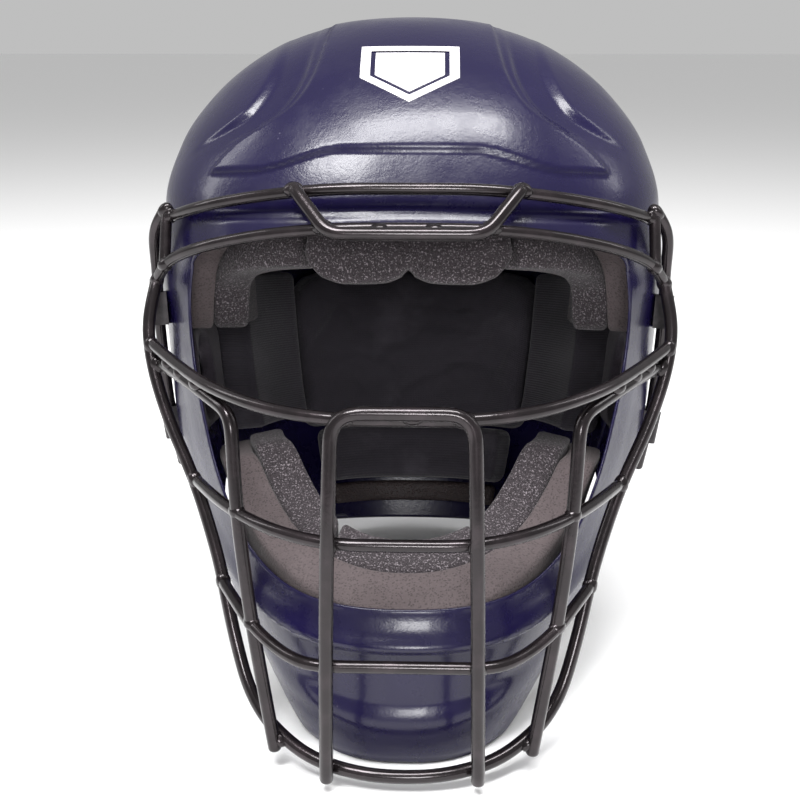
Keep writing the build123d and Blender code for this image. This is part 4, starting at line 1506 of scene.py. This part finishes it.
@dataclass(frozen=True)
class Room:
    """Pale floor, pale surroundings and soft lights."""

    floor_half: float = 30.0
    tone: float = 0.93
    glow: float = 0.52
    lamps: tuple[Lamp, ...] = (
        Lamp("key", (-0.45, -0.8, 1.6), (0.5, 0.3), 20),
        Lamp("top", (0.12, -0.42, 1.6), (0.9, 0.35), 30),
        Lamp("fill", (0.1, -1.8, 0.75), (0.35, 0.35), 14),
        Lamp("left_strip", (-1.3, 0.1, 1.1), (0.2, 0.9), 5),
        Lamp("right_strip", (1.3, 0.2, 1.2), (0.2, 0.9), 4),
    )

    def make(self, stance: Stance) -> None:
        """Add the floor, the world and the lights."""
        half = self.floor_half
        mesh = bpy.data.meshes.new("floor")
        mesh.from_pydata([(-half, -half, 0), (half, -half, 0), (half, half, 0), (-half, half, 0)], [], [(0, 1, 2, 3)])
        floor = bpy.data.objects.new("floor", mesh)
        bpy.context.scene.collection.objects.link(floor)
        shader = Shader("floor_paper")
        mesh.materials.append(shader.finish({"Base Color": (self.tone,) * 3 + (1.0,), "Roughness": 0.9}))
        world = bpy.data.worlds.new("surroundings")
        world.use_nodes = True
        background = world.node_tree.nodes["Background"]
        background.inputs[0].default_value = (1.0, 1.0, 1.0, 1.0)
        background.inputs[1].default_value = self.glow
        bpy.context.scene.world = world
        bpy.context.scene.view_settings.view_transform = "Standard"
        target = Vector(stance.places(np.array(HOME)))
        for lamp in self.lamps:
            lamp.make(target)


# --- Assembly ---------------------------------------------------------------------------------------------
class Mask:
    """Builds every piece of the mask and dresses the CAD nodes that stay."""

    def __init__(self, bench: Bench) -> None:
        """Make the finishes that several sub-assemblies share."""
        self.bench = bench
        self.paint = ShellPaint().material()
        self.foams = {foam: foam.value.material() for foam in Foams}

    def build(self) -> None:
        """All sub-assemblies in order."""
        self.shells()
        self.cage()
        self.liner()
        self.straps()
        self.fixings()

    def shells(self) -> None:
        """Both shells and the decal."""
        shells = Shells()
        self.bench.rides("front", "front_shell_skin", shells.front(), self.paint, "shell_plastic", ("front_shell",))
        self.bench.rides("rear", "rear_shell_skin", shells.rear(), self.paint, "shell_plastic", ("rear_shell",))
        vinyl = Vinyl().material()
        self.bench.rides("front", "crest_vinyl", Decal().surface(), vinyl, "decal_white", ("crest_decal",))

    def cage(self) -> None:
        """Wires and weld beads."""
        cage, coat = Cage(), CageCoat().material()
        for name, surface in cage.pieces().items():
            self.bench.rides("front", f"{name}_coated", surface, coat, "cage_wire", (name,))
        self.bench.rides("front", "weld_beads", cage.welds(), coat, "cage_wire")

    def liner(self) -> None:
        """Pads of both shells."""
        liner, bench = Liner(), self.bench
        firm, comfort, ear = (self.foams[foam] for foam in Foams)
        for paired, pads in ((False, liner.front_pads()), (True, liner.side_pads())):
            for pad in pads:
                soft = "comfort" in pad.name
                slot = "comfort_foam" if soft else "firm_foam"
                bench.pad("front", pad, comfort if soft else firm, slot, 0.8 if soft else 1.0, paired)
        ring = liner.ear_pad()
        for name, shape in (("ear_pad_left", ring), ("ear_pad_right", ring.mirrored())):
            bench.rides("front", f"{name}_foam", shape, ear, "ear_foam", (name,))
        cloth, leather = PadCloth().material(), TrimLeather().material()
        for pad in liner.rear_pads():
            trim = pad.name == "nape_trim"
            finish, slot = (leather, "nape_leather") if trim else (cloth, "pad_cloth")
            bench.pad("rear", pad, finish, slot, 0.8)
        for pad in liner.rear_side_pads():
            bench.pad("rear", pad, cloth, "pad_cloth", 0.8, paired=True)

    def straps(self) -> None:
        """Straps laid across the seam between the shells, from one rivet to the other; the places of their two ends
        are worked out but not used.
        """
        straps, stance = Straps(), self.bench.stance
        for pad, lengthways in zip(straps.pads(), (1, 0)):
            webbing = Webbing(f"{pad.name}_webbing", lengthways=lengthways).material()
            surface = pad.surface()
            paired = pad.name.startswith("side")
            shapes = {f"{pad.name}_left": surface, f"{pad.name}_right": surface.mirrored()}
            for name, shape in (shapes if paired else {pad.name: surface}).items():
                piece = self.bench.piece(f"{name}_elastic", shape, webbing, "elastic_webbing", (name,))
                height = float(shape.points[:, 2].mean())
                start, end = (stance.places(np.array((0.0, y, height))) for y in straps.stretch)
                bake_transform(piece)

    def fixings(self) -> None:
        """Clips and fasteners keep their CAD shapes."""
        self.bench.dress(("temple_clip", "jaw_clip"), Metals.CLIP.value.material())
        self.bench.dress(("temple_screw", "jaw_screw", "temple_tee", "jaw_tee", "top_front_rivet", "top_rear_rivet",
                          "side_front_rivet", "side_rear_rivet"), Metals.ZINC.value.material())


def main() -> None:
    """Build the mask around its frame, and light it."""
    logging.basicConfig(level=logging.INFO, format="%(message)s")
    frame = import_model()
    stance = Stance.from_frame(10.0, "brow_post_left", ((106.5, -60.5, 229), (106.5, -66.5, 206)))
    Mask(Bench(frame, stance)).build()
    Room().make(stance)
    Camera().make(stance)


if __name__ == "__main__":
    main()
